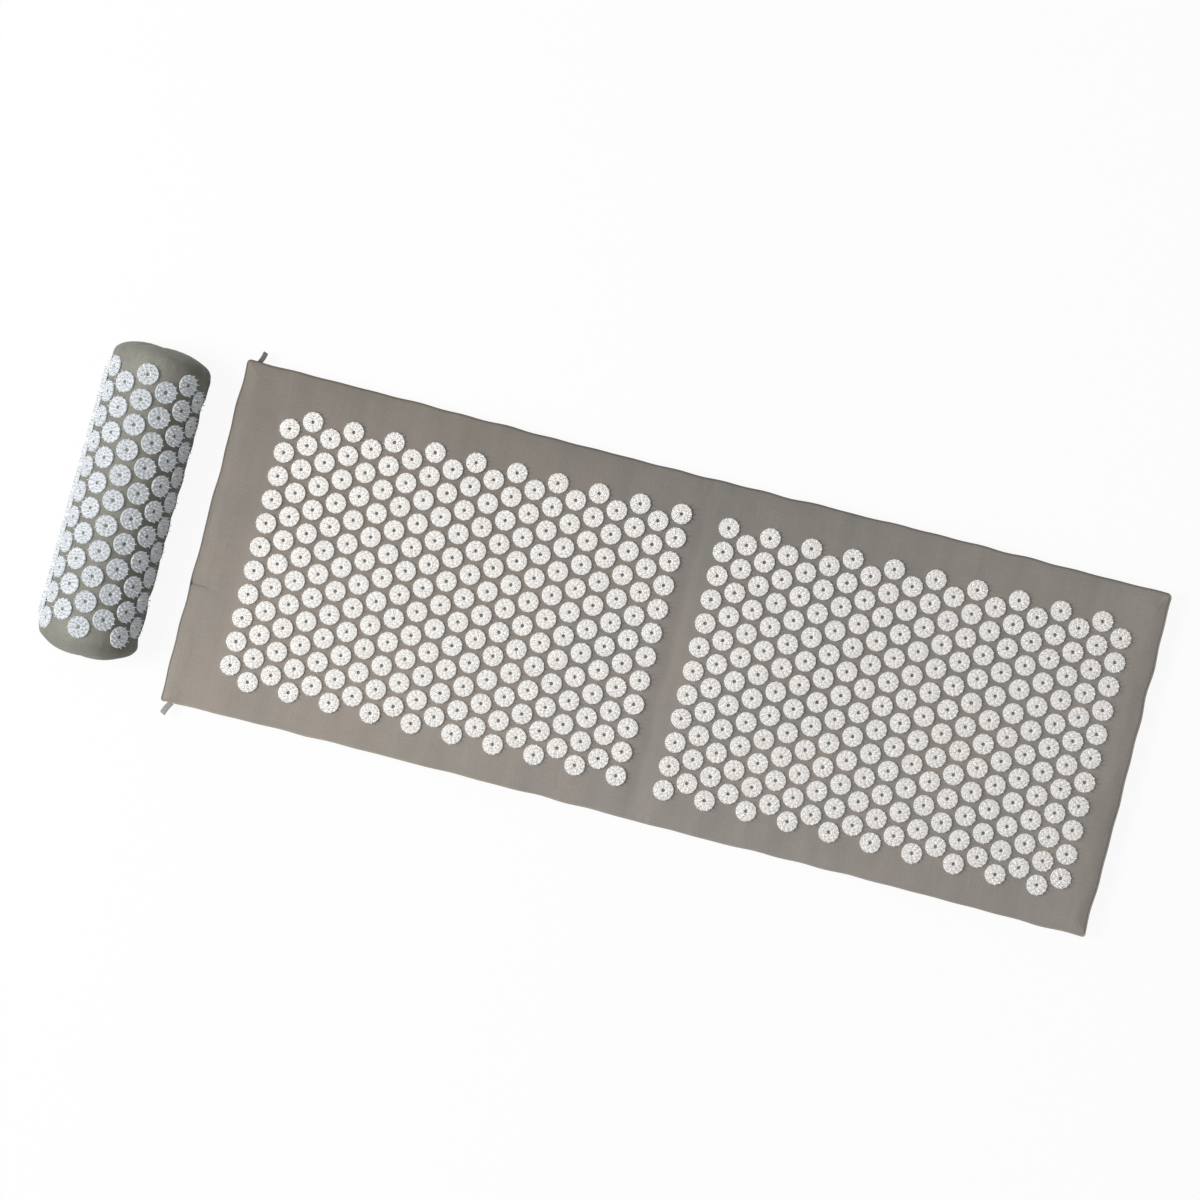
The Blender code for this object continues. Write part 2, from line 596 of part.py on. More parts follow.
def make_slider(prefix, coil_x, tape_x, height, half, place):
    """Channel-shaped slider with a bail, and the pull whose eye hangs on the bail's bar."""
    start_y = SLIDER_END_MARGIN + SLIDER_LENGTH / 2 - half
    plate_x = coil_x - SLIDER_CLEARANCE - SLIDER_PLATE
    flange_in = COIL_GAP / 2 + COIL_HEIGHT + SLIDER_CLEARANCE
    flange_out = flange_in + SLIDER_FLANGE
    reach = tape_x - SEAT_GAP - plate_x
    section = [(0, -flange_out), (0, flange_out), (reach, flange_out), (reach, flange_in)]
    section += [(SLIDER_PLATE, flange_in), (SLIDER_PLATE, -flange_in)]
    section += [(reach, -flange_in), (reach, -flange_out)]
    bm = bmesh.new()
    half_y = SLIDER_LENGTH / 2
    channel = loft(bm, [[(x, y, z) for x, z in section] for y in (-half_y, half_y)], skipped=(0,))
    bar = BAIL_BAR / 2
    leg_out = BAIL_SPAN / 2
    leg_in = leg_out - BAIL_BAR
    bar_out = -BAIL_RISE - bar
    bar_in = bar - BAIL_RISE
    arch = [(0, -leg_out), (bar_out, -leg_out), (bar_out, leg_out), (0, leg_out)]
    arch += [(0, leg_in), (bar_in, leg_in), (bar_in, -leg_in), (0, -leg_in)]
    feet = (3, len(arch) - 1)
    bail = loft(bm, [[(x, y, z) for x, z in arch] for y in (-bar, bar)], skipped=feet)
    for row in channel + bail:
        bm.faces.new(row)
    plate = [(channel[0][0], channel[0][1]), (channel[0][1], channel[1][1])]
    plate += [(channel[1][1], channel[1][0]), (channel[1][0], channel[0][0])]
    for i in feet:
        j = (i + 1) % len(arch)
        plate += [(bail[0][i], bail[0][j]), (bail[0][j], bail[1][j])]
        plate += [(bail[1][j], bail[1][i]), (bail[1][i], bail[0][i])]
    edges = [bm.edges.get(pair) or bm.edges.new(pair) for pair in plate]
    bmesh.ops.triangle_fill(bm, use_beauty=True, edges=edges, normal=(-1, 0, 0))
    spot = Matrix.Translation((plate_x, start_y, height))
    add_object(f"{prefix}_zip_slider", bm, SLIDER_LOOK, place @ spot)
    make_pull(f"{prefix}_zip_pull", place @ spot @ Matrix.Translation((-BAIL_RISE, 0, 0)))


def make_pull(name, place):
    """Eight-sided eye round the bar, with a flat tab drawn out of the side towards +Y."""
    bm = bmesh.new()
    half = PULL_WIDTH / 2
    loops = []
    for radius, z in ((PULL_OUTER_RADIUS, -half), (PULL_OUTER_RADIUS, half),
                      (PULL_INNER_RADIUS, half), (PULL_INNER_RADIUS, -half)):
        loop = []
        for i in range(PULL_SIDES):
            angle = 2 * math.pi * (i + 0.5) / PULL_SIDES
            loop.append((radius * math.cos(angle), radius * math.sin(angle), z))
        loops.append(loop)
    loops.append(loops[0])
    loft(bm, loops)
    bmesh.ops.remove_doubles(bm, verts=bm.verts, dist=SEAT_GAP / 100)
    tab = max(bm.faces, key=lambda f: f.calc_center_median().y)
    drawn = bmesh.ops.extrude_discrete_faces(bm, faces=[tab])["faces"]
    bmesh.ops.translate(bm, verts=drawn[0].verts, vec=(0, PULL_LENGTH, 0))
    add_object(name, bm, SLIDER_LOOK, place)


def main():
    """Build the mat and the pillow."""
    clear_scene()
    make_left_half()
    make_right_half()
    make_fold_band()
    make_fields()
    make_corner_loop("rear_corner_loop", REAR_LOOP_PLACE, 1, REAR_LOOP_TILT)
    make_corner_loop("front_corner_loop", FRONT_LOOP_PLACE, -1, FRONT_LOOP_TILT)
    mat_wall = LEFT_END + draw_in(MAT_ZIP_HEIGHT)
    make_zip("mat", mat_wall, MAT_ZIP_HEIGHT, MAT_ZIP_LENGTH, Matrix.Identity(4))
    turn = Matrix.Rotation(PILLOW_TURN, 4, "Z")
    pillow = Matrix.Translation((PILLOW_X, PILLOW_Y, 0)) @ turn
    make_pillow_wrap(pillow)
    make_pillow_foam(pillow)
    make_pillow_ends(pillow)
    make_pillow_lines(pillow)
    left_wall = pillow_section()[0][-1][0]
    make_zip("pillow", left_wall, PILLOW_ZIP_HEIGHT, PILLOW_ZIP_LENGTH, pillow)


main()
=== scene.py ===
import math
import bpy
import numpy as np
from mathutils import Matrix, Vector
from mathutils.geometry import delaunay_2d_cdt


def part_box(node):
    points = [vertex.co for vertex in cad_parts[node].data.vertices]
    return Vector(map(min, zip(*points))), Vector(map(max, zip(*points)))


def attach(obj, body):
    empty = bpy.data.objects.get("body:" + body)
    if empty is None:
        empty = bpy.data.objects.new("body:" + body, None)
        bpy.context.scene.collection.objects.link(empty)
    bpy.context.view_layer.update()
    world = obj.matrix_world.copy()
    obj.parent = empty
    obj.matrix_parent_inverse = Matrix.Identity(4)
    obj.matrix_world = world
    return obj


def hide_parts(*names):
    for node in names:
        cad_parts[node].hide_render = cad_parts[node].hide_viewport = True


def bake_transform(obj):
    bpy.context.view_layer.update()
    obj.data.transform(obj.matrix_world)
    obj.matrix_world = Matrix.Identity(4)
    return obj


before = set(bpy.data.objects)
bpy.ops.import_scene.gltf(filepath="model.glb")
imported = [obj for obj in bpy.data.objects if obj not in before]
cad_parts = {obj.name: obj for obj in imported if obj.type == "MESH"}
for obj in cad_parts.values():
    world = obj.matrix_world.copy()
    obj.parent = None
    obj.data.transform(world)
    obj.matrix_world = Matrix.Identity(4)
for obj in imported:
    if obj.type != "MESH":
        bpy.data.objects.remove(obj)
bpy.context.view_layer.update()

TAU = 2 * math.pi
MM = 0.001
WHITE = (1, 1, 1, 1)
THREAD_PITCH = 0.00078

# Mat, in metres, as in the part's source
LEFT_END, RIGHT_END, HALF_WIDTH = -0.325, 0.9855, 0.240
FOLD_X, FOLD_HALF = 0.344, 0.019
MAT_TOP, SEAM_Z, SHOULDER = 0.0254, 0.0205, 0.024
REAR_FLARE, CREASE_DEPTH = 0.0075, 0.0019
PITCH, FIELD_GAP, RIGHT_SHIFT = 0.0337, 0.068, -0.0032
COLUMN_PITCH = PITCH * math.sqrt(3) / 2
DISC_SEAT, DISC_RADIUS = 0.02555, 0.01425
MAT_ZIP_Z, MAT_ZIP_HALF = 0.0112, 0.205

# Radius of the sewn corners at each end, and how far from the fold the cover's finer grid reaches
LEFT_CORNER, RIGHT_CORNER, FINE_REACH = 0.0048, 0.006, 0.026
# The mat's border in mm: its upper seam and its height, the zip's opening, and how far in the border stands
# at the zip and at the place where the flipped pull hangs
BORDER_TOP, BORDER_HEIGHT = 19.6, 17.6
ZIP_LOW, ZIP_HIGH, ZIP_DEPTH, PULL_DEPTH = 7.8, 14.6, 5.0, 1.2

# Pillow, as in the part's source
PILLOW_PLACE = Matrix.Translation((-0.4445, 0.013, 0)) @ Matrix.Rotation(math.radians(-1.2), 4, "Z")
PILLOW_RADIUS, PILLOW_AXIS = 0.068, 0.030
LINE_STEP = math.radians(25.4)
# Room beside a line of discs, between two discs of a line, past the last disc, and past the zip's end
LINE_ROOM, ROW_ROOM, END_ROOM, ZIP_ROOM = 0.0018, 0.0054, 0.017, 0.018
PILLOW_DISC_RADIUS = (PILLOW_RADIUS * math.sin(LINE_STEP / 2) - LINE_ROOM) / math.cos(math.pi / 6)
PILLOW_PITCH = 2 * PILLOW_DISC_RADIUS + ROW_ROOM
PILLOW_HALF = 5 * PILLOW_PITCH + END_ROOM
PILLOW_ZIP_Z, PILLOW_ZIP_HALF = 0.0165, PILLOW_HALF - ZIP_ROOM
# Its round ends, front and rear: where they begin, how far they reach and how square they are
PILLOW_TURN, PILLOW_NOSE, PILLOW_ROUND = 0.186, (0.0335, 0.0355), (2.2, 3.2)
# Its section: radius of the rounding at the foot, middle, and half sizes of the oval that the ends run to
FOOT_ROUND, SECTION_MIDDLE, OVAL = 0.007, np.array([0, 0.043]), (0.066, 0.047)

# Disc in mm: radius and height of its circles, from the hole's foot over the plate to the outer foot
HOLE_FOOT, HOLE_LIP, HOLE_SHOULDER = (2.4, 0.0), (2.45, 1.80), (2.85, 2.10)
PLATE_RIM, PLATE_EDGE, PLATE_FOOT = (13.85, 2.00), (14.2, 1.45), (14.25, 0.0)
HOLE_SIDES, PLATE_SIDES, SPIKE_SIDES = 12, 24, 6
# Rings of spikes: how many, distance from the middle, radius at the foot, lean outwards, turn of the ring
SPIKES = ((6, 5.25, 1.55, 0.3, 0.2), (9, 8.85, 1.55, 0.4, 0.0), (12, 12.4, 1.35, 2.1, 0.0))
# Steps of a spike above its foot: share of the radius, height, share of the lean. The tip's height is last
SPIKE_STEPS, SPIKE_TIP = ((0.62, 3.2, 0.25), (0.34, 6.10, 0.95)), 6.35

# Zips: the tape's thickness and edges, counted from the zip's middle, and the same of the teeth
TAPE_THICK, TAPE_EDGES = 0.0006, (0.0002, 0.0064)
TOOTH_DEPTH, TOOTH_EDGES = 0.0014, (0.00015, 0.0021)
TOOTH_PITCH, TOOTH_HALF, TOOTH_ROUND = 0.00165, 0.00052, 0.00028
# Tape loops: length of the plain loop in the part's source, radius of the fold and depth in the seam, then
# ridges along the tape and spacing of the ribs across it
PLAIN_LOOP, LOOP_RADIUS, LOOP_SUNK = 0.0165, 0.0019, 0.0014
RIDGES, RIB_PITCH = 3, 0.00092


# helpers
def sines(seed, longest, shortest, count, turned):
    """Lengths, directions, starts and sizes of sine waves that add up to unevenness of about +-1."""
    rng = np.random.default_rng(seed)
    length = shortest * (longest / shortest) ** rng.random(count)
    turn = rng.random(count) * TAU if turned else None
    phase = rng.random(count) * TAU
    size = rng.uniform(0.6, 1.0, count)
    return length, turn, phase, size / (math.sqrt(float((size ** 2).sum()) / 2) * 1.6)


def waves(seed, longest, shortest, count):
    """Smooth, repeatable unevenness along a length."""
    length, _, phase, size = sines(seed, longest, shortest, count, False)
    return lambda s: (size * np.sin(TAU * np.asarray(s, float)[..., None] / length + phase)).sum(-1)


def field(seed, longest, shortest, count):
    """The same over a plane."""
    length, turn, phase, size = sines(seed, longest, shortest, count, True)

    def at(x, y):
        x, y = np.asarray(x, float)[..., None], np.asarray(y, float)[..., None]
        return (size * np.sin(TAU * (x * np.cos(turn) + y * np.sin(turn)) / length + phase)).sum(-1)

    return at


def smooth(start, end, value):
    """Runs from 0 at the start to 1 at the end in an S-curve, and stays level on both sides."""
    t = np.clip((np.asarray(value, float) - start) / (end - start), 0, 1)
    return t * t * (3 - 2 * t)


def build(name, points, faces, uv=None, sharp=None, materials=(), kinds=None):
    """A mesh object. uv gives a pair for each face corner, in the faces' order."""
    mesh = bpy.data.meshes.new(name)
    corners = [tuple(int(i) for i in face) for face in faces]
    mesh.from_pydata([tuple(p) for p in np.asarray(points, float)], [], corners)
    mesh.validate()
    mesh.shade_smooth()
    if sharp is not None:
        mesh.set_sharp_from_angle(angle=sharp)
    if uv is not None:
        layer = mesh.uv_layers.new(name="UVMap")
        layer.data.foreach_set("uv", np.asarray(uv, np.float32).ravel())
    for material in materials:
        mesh.materials.append(material)
    if kinds is not None:
        mesh.polygons.foreach_set("material_index", np.asarray(kinds, np.int32))
    item = bpy.data.objects.new(name, mesh)
    bpy.context.scene.collection.objects.link(item)
    return item


# materials
class Nodes:
    """Short way to write the node tree of a material or of the world."""

    def __init__(self, owner):
        owner.use_nodes = True
        self.owner = owner
        self.tree = owner.node_tree

    def put(self, socket, value):
        if isinstance(value, bpy.types.NodeSocket):
            self.tree.links.new(value, socket)
        else:
            socket.default_value = value

    def fill(self, node, inputs):
        for key, value in inputs.items():
            self.put(node.inputs[key], value)

    def surface(self, **inputs):
        """Sets inputs of the main shader, with _ in place of the spaces in their names."""
        inputs = {key.replace("_", " "): value for key, value in inputs.items()}
        self.fill(self.tree.nodes["Principled BSDF"], inputs)

    def add(self, kind, inputs=None, **props):
        node = self.tree.nodes.new(kind)
        for key, value in props.items():
            setattr(node, key, value)
        self.fill(node, inputs or {})
        return node

    def math(self, operation, a, b=0.0):
        return self.add("ShaderNodeMath", {0: a, 1: b, 2: 0.0}, operation=operation).outputs[0]

    def times(self, a, b):
        return self.math("MULTIPLY", a, b)

    def plus(self, a, b):
        return self.math("ADD", a, b)

    def tint(self, colour, level):
        return self.add("ShaderNodeVectorMath", {0: colour, 1: level}, operation="MULTIPLY").outputs[0]

    def span(self, value, low, high, to_low, to_high):
        inputs = {0: value, 1: low, 2: high, 3: to_low, 4: to_high}
        return self.add("ShaderNodeMapRange", inputs, clamp=True).outputs[0]

    def noise(self, vector, scale, detail=2.0, rough=0.5):
        inputs = {"Vector": vector, "Scale": scale, "Detail": detail, "Roughness": rough}
        return self.add("ShaderNodeTexNoise", inputs).outputs["Fac"]

    def stretch(self, vector, scale, turn=0.0):
        inputs = {"Vector": vector, "Scale": scale, "Rotation": (0, 0, turn)}
        return self.add("ShaderNodeMapping", inputs).outputs[0]

    def mix(self, factor, a, b):
        return self.add("ShaderNodeMix", {0: factor, 6: a, 7: b}, data_type="RGBA").outputs[2]

    def bump(self, height, distance, strength=1.0, normal=None):
        inputs = {"Height": height, "Distance": distance, "Strength": strength}
        if normal is not None:
            inputs["Normal"] = normal
        return self.add("ShaderNodeBump", inputs).outputs[0]

    def place(self):
        return self.add("ShaderNodeTexCoord").outputs["Object"]

    def unwrapped(self):
        return self.add("ShaderNodeUVMap", uv_map="UVMap").outputs[0]

    def split(self, vector):
        return self.add("ShaderNodeSeparateXYZ", {0: vector}).outputs

    def seen(self):
        """1 for rays from the camera, straight or by way of a mirror or glass, and 0 for the others."""
        ray = self.add("ShaderNodeLightPath").outputs
        either = self.math("MAXIMUM", ray["Is Camera Ray"], ray["Is Glossy Ray"])
        return self.math("MAXIMUM", either, ray["Is Transmission Ray"])


def mat_painted_light(n, u, v, level):
    """Painted light and shade on the mat's cloth: darker to the rear and lighter to the front, most on its
    left half, and lighter towards the right end. The left end's rim and the rear seam are thin lines of
    painted shade, and the rolled front seam is a line of painted highlight."""
    fade = 0.155
    # painted shade to the rear and painted light to the front, most on the left half
    lean = n.times(n.times(v, 1 / HALF_WIDTH), n.span(u, FOLD_X, RIGHT_END, fade, 0.1 * fade))
    level = n.times(level, n.math("SUBTRACT", 1.0, lean))
    # painted light, growing towards the right end
    level = n.times(level, n.span(u, FOLD_X, RIGHT_END, 1.0, 1.13))
    # painted shade on the rim of the left end
    level = n.times(level, n.span(u, -0.3290, -0.3282, 0.66, 1.0))
    # painted highlight along the rolled front seam and painted shade along the rear seam
    for start, end, gain in ((-0.2376, -0.2388, 0.17), (0.2391, 0.2400, -0.36)):
        # the line stays at its full tone for 2.6 times as long as it takes to get there, and fades as long
        far = end + (end - start) * 2.6
        line = n.times(n.span(v, start, end, 0.0, gain), n.span(v, far, 2 * far - end, 1.0, 0.0))
        level = n.times(level, n.plus(1.0, line))
    return level


def pillow_painted_shade(n, level):
    """Painted shade on the pillow's cloth: darker at its ends, among its discs and down its sides, most on
    the side towards the mat, away from the lamp.
    """
    at = n.split(n.place())
    # painted shade down both sides, most on the side towards the mat
    level = n.times(level, n.span(at[0], 0.018, 0.062, 1.0, 0.58))
    level = n.times(level, n.span(at[0], -0.045, -0.010, 0.79, 1.0))
    # painted shade at the ends and among the discs
    away = n.math("ABSOLUTE", at[1])
    level = n.times(level, n.span(away, 0.184, 0.202, 1.0, 0.86))
    return n.times(level, n.span(away, 0.150, 0.184, 0.86, 1.0))


def cloth_material(name, colour, warm, cool, is_mat):
    """Plain woven cotton: threads both ways, uneven yarn, soft blotches."""
    n = Nodes(bpy.data.materials.new(name))
    uv = n.unwrapped()
    u, v, _ = n.split(uv)
    rate = math.pi / THREAD_PITCH
    across = n.math("SINE", n.times(u, rate))
    along = n.math("SINE", n.times(v, rate))
    over = n.span(n.times(across, along), -0.25, 0.25, 0.0, 1.0)
    warp = n.math("ABSOLUTE", across)
    weft = n.math("ABSOLUTE", along)
    high = n.plus(n.times(warp, over), n.times(weft, n.math("SUBTRACT", 1.0, over)))
    slub_u = n.noise(n.stretch(uv, (1250, 26, 1)), 1.0, 3.0)
    slub_v = n.noise(n.stretch(uv, (26, 1250, 1)), 1.0, 3.0)
    yarn = n.plus(n.times(slub_u, 0.5), n.times(slub_v, 0.5))
    streak = n.noise(n.stretch(uv, (34, 2.4, 1), 0.12), 1.0, 2.0)
    blotch = n.noise(n.stretch(uv, (6.5, 9, 1)), 1.0, 2.0)
    level = n.plus(n.span(yarn, 0.3, 0.7, 0.90, 1.10), n.span(high, 0.25, 1.0, -0.10, 0.03))
    level = n.times(level, n.span(streak, 0.3, 0.7, 0.95, 1.05))
    fleck = n.noise(n.stretch(uv, (520, 520, 1)), 1.0, 3.0, 0.6)
    level = n.times(level, n.span(fleck, 0.3, 0.7, 0.90, 1.10))
    # painted light and shade on the mat's cloth, painted shade on the pillow's
    level = mat_painted_light(n, u, v, level) if is_mat else pillow_painted_shade(n, level)
    tone = n.mix(n.span(blotch, 0.38, 0.62, 0.0, 1.0), (*warm, 1.0), (*cool, 1.0))
    tone = n.mix(0.55, (*colour, 1.0), tone)
    if is_mat:
        # warmer at the left end
        tone = n.tint(tone, n.mix(n.span(u, -0.10, 0.30, 0.0, 1.0), WHITE, (0.985, 1.015, 1.045, 1)))
    n.surface(Base_Color=n.tint(tone, level), Roughness=0.88, Specular_IOR_Level=0.25, Sheen_Weight=0.12,
              Sheen_Roughness=0.45)
    weave = n.bump(n.plus(high, n.times(yarn, 0.8)), 0.00016, 0.6)
    n.surface(Normal=n.bump(streak, 0.0012, 0.35, weave))
    return n.owner


def plastic_material(name, colour, rough, darker, depth=0.0):
    """Moulded plastic with a faint grain and slow change of tone. depth is how far light spreads in it."""
    n = Nodes(bpy.data.materials.new(name))
    place = n.place()
    slow = n.noise(place, 55.0)
    grain = n.noise(place, 2600.0)
    n.surface(Base_Color=n.mix(n.span(slow, 0.35, 0.65, 0.0, 1.0), (*colour, 1.0), (*darker, 1.0)),
              Roughness=n.span(grain, 0.3, 0.7, rough - 0.05, rough + 0.08), IOR=1.49)
    if depth:
        n.tree.nodes["Principled BSDF"].subsurface_method = "BURLEY"
        n.surface(Subsurface_Weight=1.0, Subsurface_Radius=(1.0, 1.0, 1.0), Subsurface_Scale=depth)
    n.surface(Normal=n.bump(grain, 0.00003, 0.5))
    return n.owner


def tape_material(name, colour, pitch, ribs=0):
    """Narrow woven tape: fine threads along it and a faint fleck. ribs counts its long grooves, which get
    painted shade.
    """
    n = Nodes(bpy.data.materials.new(name))
    place = n.place()
    fleck = n.noise(place, 900.0, 3.0, 0.6)
    slow = n.noise(place, 60.0)
    threads = n.add("ShaderNodeTexWave", {"Vector": place, "Scale": 0.5 / pitch, "Distortion": 0.4},
                    wave_type="BANDS", bands_direction="Z").outputs["Fac"]
    level = n.plus(n.span(fleck, 0.3, 0.7, 0.84, 1.12), n.span(threads, 0.0, 1.0, -0.06, 0.05))
    level = n.times(level, n.span(slow, 0.3, 0.7, 0.94, 1.05))
    if ribs:
        # painted shade in the grooves between the tape's ridges
        painted_groove_shade = n.math("COSINE", n.times(n.split(n.unwrapped())[0], TAU * ribs))
        level = n.times(level, n.span(painted_groove_shade, -1.0, 1.0, 0.72, 1.12))
    n.surface(Base_Color=n.tint(colour, level), Roughness=0.82, Sheen_Weight=0.15)
    n.surface(Normal=n.bump(n.plus(fleck, threads), 0.00012, 0.7))
    return n.owner


def metal_material(name, colour):
    """Painted die-cast metal with small scratches and a rubbed look."""
    n = Nodes(bpy.data.materials.new(name))
    place = n.place()
    scratch = n.noise(n.stretch(place, (300, 4200, 900)), 1.0, 3.0, 0.6)
    worn = n.noise(place, 700.0, 3.0)
    rubbed = tuple(c * 1.35 for c in colour)
    n.surface(Base_Color=n.mix(n.span(worn, 0.4, 0.65, 0.0, 1.0), (*colour, 1.0), (*rubbed, 1.0)),
              Metallic=1.0, Roughness=n.span(scratch, 0.3, 0.7, 0.28, 0.5))
    n.surface(Normal=n.bump(scratch, 0.00004, 0.4))
    return n.owner


MAT_CLOTH = cloth_material("mat_cotton", (0.317, 0.283, 0.251), (0.345, 0.303, 0.262),
                           (0.296, 0.272, 0.241), True)
PILLOW_CLOTH = cloth_material("pillow_cotton", (0.326, 0.324, 0.281), (0.338, 0.329, 0.281),
                              (0.313, 0.313, 0.274), False)
MAT_PLASTIC = plastic_material("disc_plastic_mat", (0.79, 0.776, 0.755), 0.60, (0.77, 0.757, 0.736), 0.0050)
# a darker, bluer copy of the mat discs' white plastic: painted shade for the pillow's dimmer, cooler light
PILLOW_PLASTIC_PAINTED_SHADE = plastic_material("disc_plastic_pillow_painted_shade", (0.60, 0.63, 0.655), 0.45, (0.58, 0.61, 0.635),
                                  0.0030)
REAR_TAPE = tape_material("rear_loop_tape", (0.165, 0.158, 0.145), 0.0011, RIDGES)
FRONT_TAPE = tape_material("front_loop_tape", (0.40, 0.392, 0.372), 0.0011, RIDGES)
ZIP_TAPE = tape_material("zip_tape", (0.215, 0.205, 0.19), 0.0009)
ZIP_NYLON = plastic_material("zip_nylon", (0.20, 0.195, 0.18), 0.42, (0.17, 0.165, 0.155))
ZIP_METAL = metal_material("zip_metal", (0.42, 0.42, 0.41))


# camera, light, stage
scene = bpy.context.scene
camera = bpy.data.objects.new("camera", bpy.data.cameras.new("camera"))
camera.data.lens = 100
camera.data.sensor_width = 36
camera.data.clip_end = 40
camera.location = (0.48174, 0.02005, 4.60334)
camera.rotation_euler = (0.018369, 0.052071, 0.246641)
scene.collection.objects.link(camera)
scene.camera = camera
scene.view_settings.view_transform = "Standard"

# the world looks white, and lights less than it shows
studio = Nodes(bpy.data.worlds.new("studio"))
scene.world = studio.owner
dim = studio.tree.nodes["Background"]
studio.fill(dim, {0: WHITE, 1: 0.39})
plain = studio.add("ShaderNodeBackground", {0: WHITE, 1: 1.0})
either = studio.add("ShaderNodeMixShader", {0: studio.seen(), 1: dim.outputs[0], 2: plain.outputs[0]})
studio.put(studio.tree.nodes["World Output"].inputs["Surface"], either.outputs[0])

# square softbox, turned towards a spot on the mat's left half
lamp = bpy.data.objects.new("key", bpy.data.lights.new("key", "AREA"))
lamp.data.shape = "SQUARE"
lamp.data.size = 2.0
lamp.data.energy = 163
lamp.data.color = (1.0, 0.995, 0.985)
lamp.location = (-3.17, -0.48, 3.34)
lamp.rotation_euler = (lamp.location - Vector((-0.2, 0, 0))).to_track_quat("Z", "Y").to_euler()
scene.collection.objects.link(lamp)

FLOOR_HALF, FLOOR_Z = 4, -0.0004
FLOOR_SIGNS = ((-1, -1), (1, -1), (1, 1), (-1, 1))
floor = build("floor", [(x * FLOOR_HALF, y * FLOOR_HALF, FLOOR_Z) for x, y in FLOOR_SIGNS], [(0, 1, 2, 3)])
white = Nodes(bpy.data.materials.new("floor_white"))
white.surface(Base_Color=(0.95, 0.95, 0.95, 1), Roughness=0.9, Specular_IOR_Level=0.0)
bright = white.add("ShaderNodeEmission", {"Color": WHITE, "Strength": 1.0})
either = white.add("ShaderNodeMixShader", {0: white.times(white.seen(), 0.92), 2: bright.outputs[0],
                                           1: white.tree.nodes["Principled BSDF"].outputs[0]})
white.put(white.tree.nodes["Material Output"].inputs["Surface"], either.outputs[0])
floor.data.materials.append(white.owner)


# mat cover
def corner_path(radius):
    """Corner outline about its inner point, from straight down to straight left, and its normals."""
    flat = SHOULDER - radius
    turn = math.pi * 1.5 - np.linspace(0, 1, 8) * math.pi / 2
    points = [(-flat * t, -SHOULDER) for t in (0, 0.5)]
    points += [(-flat + radius * math.cos(a), -flat + radius * math.sin(a)) for a in turn]
    points = np.array(points + [(-SHOULDER, -flat * (1 - t)) for t in (0.5, 1)])
    normals = np.minimum(points + flat, 0)
    return points, normals / np.linalg.norm(normals, axis=1)[:, None]


def mat_outline(xs, ys):
    """Rim of the mat, counter-clockwise from the front left corner: each point's anchor on the top's grid,
    its offset from there, its outward normal and the anchor's number."""
    rim = []
    right, rear = len(xs) - 1, len(ys) - 1

    def straight(places, normal):
        for i, j in places:
            offset = (normal[0] * SHOULDER, normal[1] * SHOULDER)
            rim.append(((xs[i], ys[j]), offset, normal, i * len(ys) + j))

    def corner(i, j, radius, backwards):
        flip = np.array([-1 if i else 1, -1 if j else 1])
        rows = list(zip(*corner_path(radius)))[1:-1]
        for offset, normal in rows[::-1] if backwards else rows:
            rim.append(((xs[i], ys[j]), tuple(offset * flip), tuple(normal * flip), i * len(ys) + j))

    straight([(i, 0) for i in range(right + 1)], (0, -1))
    corner(right, 0, RIGHT_CORNER, False)
    straight([(right, j) for j in range(rear + 1)], (1, 0))
    corner(right, rear, RIGHT_CORNER, True)
    straight([(i, rear) for i in range(right, -1, -1)], (0, 1))
    corner(0, rear, LEFT_CORNER, False)
    straight([(0, j) for j in range(rear, -1, -1)], (-1, 0))
    corner(0, 0, LEFT_CORNER, True)
    return [np.array(column) for column in zip(*rim)]


def border_share(z):
    """How far down the mat's border a height in mm is, as a half wave between its two seams."""
    return math.sin(math.pi * max(BORDER_TOP - z, 0) / BORDER_HEIGHT)


def mat_profile():
    """The rim's profile from the top's shoulder, over the seams, to the underside: inset and height in mm,
    and share of the seams' pucker."""
    round_in = 1.2
    reach = SHOULDER / MM + round_in
    rise = (MAT_TOP - SEAM_Z) / MM
    rows = [(i, SEAM_Z / MM + rise * math.sin(math.pi / 2 * min(1, (i + round_in) / reach)) ** 0.75, 1.0)
            for i in (20.0, 16.0, 12.5, 9.5, 7.0, 5.0, 3.4, 2.1)]
    rows += [(1.35, 20.9, 0.6), (0.95, 20.95, 0.5), (0.45, 21.75, 0.3), (-0.25, 21.85, 0.3),
             (-0.8, 21.2, 0.3), (-0.85, 20.4, 0.3), (-0.4, 19.8, 0.3), (0.35, 19.6, 0.5)]
    rows += [(0.55 + 2.0 * border_share(z) ** 0.8, z, 0.8)
             for z in (18.6, 17.2, 15.7, 14.9, 14.55, 14.3, 11.2, 8.1, 7.85, 7.5, 6.6, 5.0, 3.4)]
    rows += [(0.5, 2.3, 0.5), (-0.3, 2.1, 0.3), (-0.7, 1.5, 0.3), (-0.5, 0.8, 0.3), (0.2, 0.35, 0.3),
             (1.2, 0.45, 0.2), (2.2, 0.25, 0), (5.0, 0.05, 0), (10.0, 0.0, 0), (17.0, 0.0, 0)]
    return rows


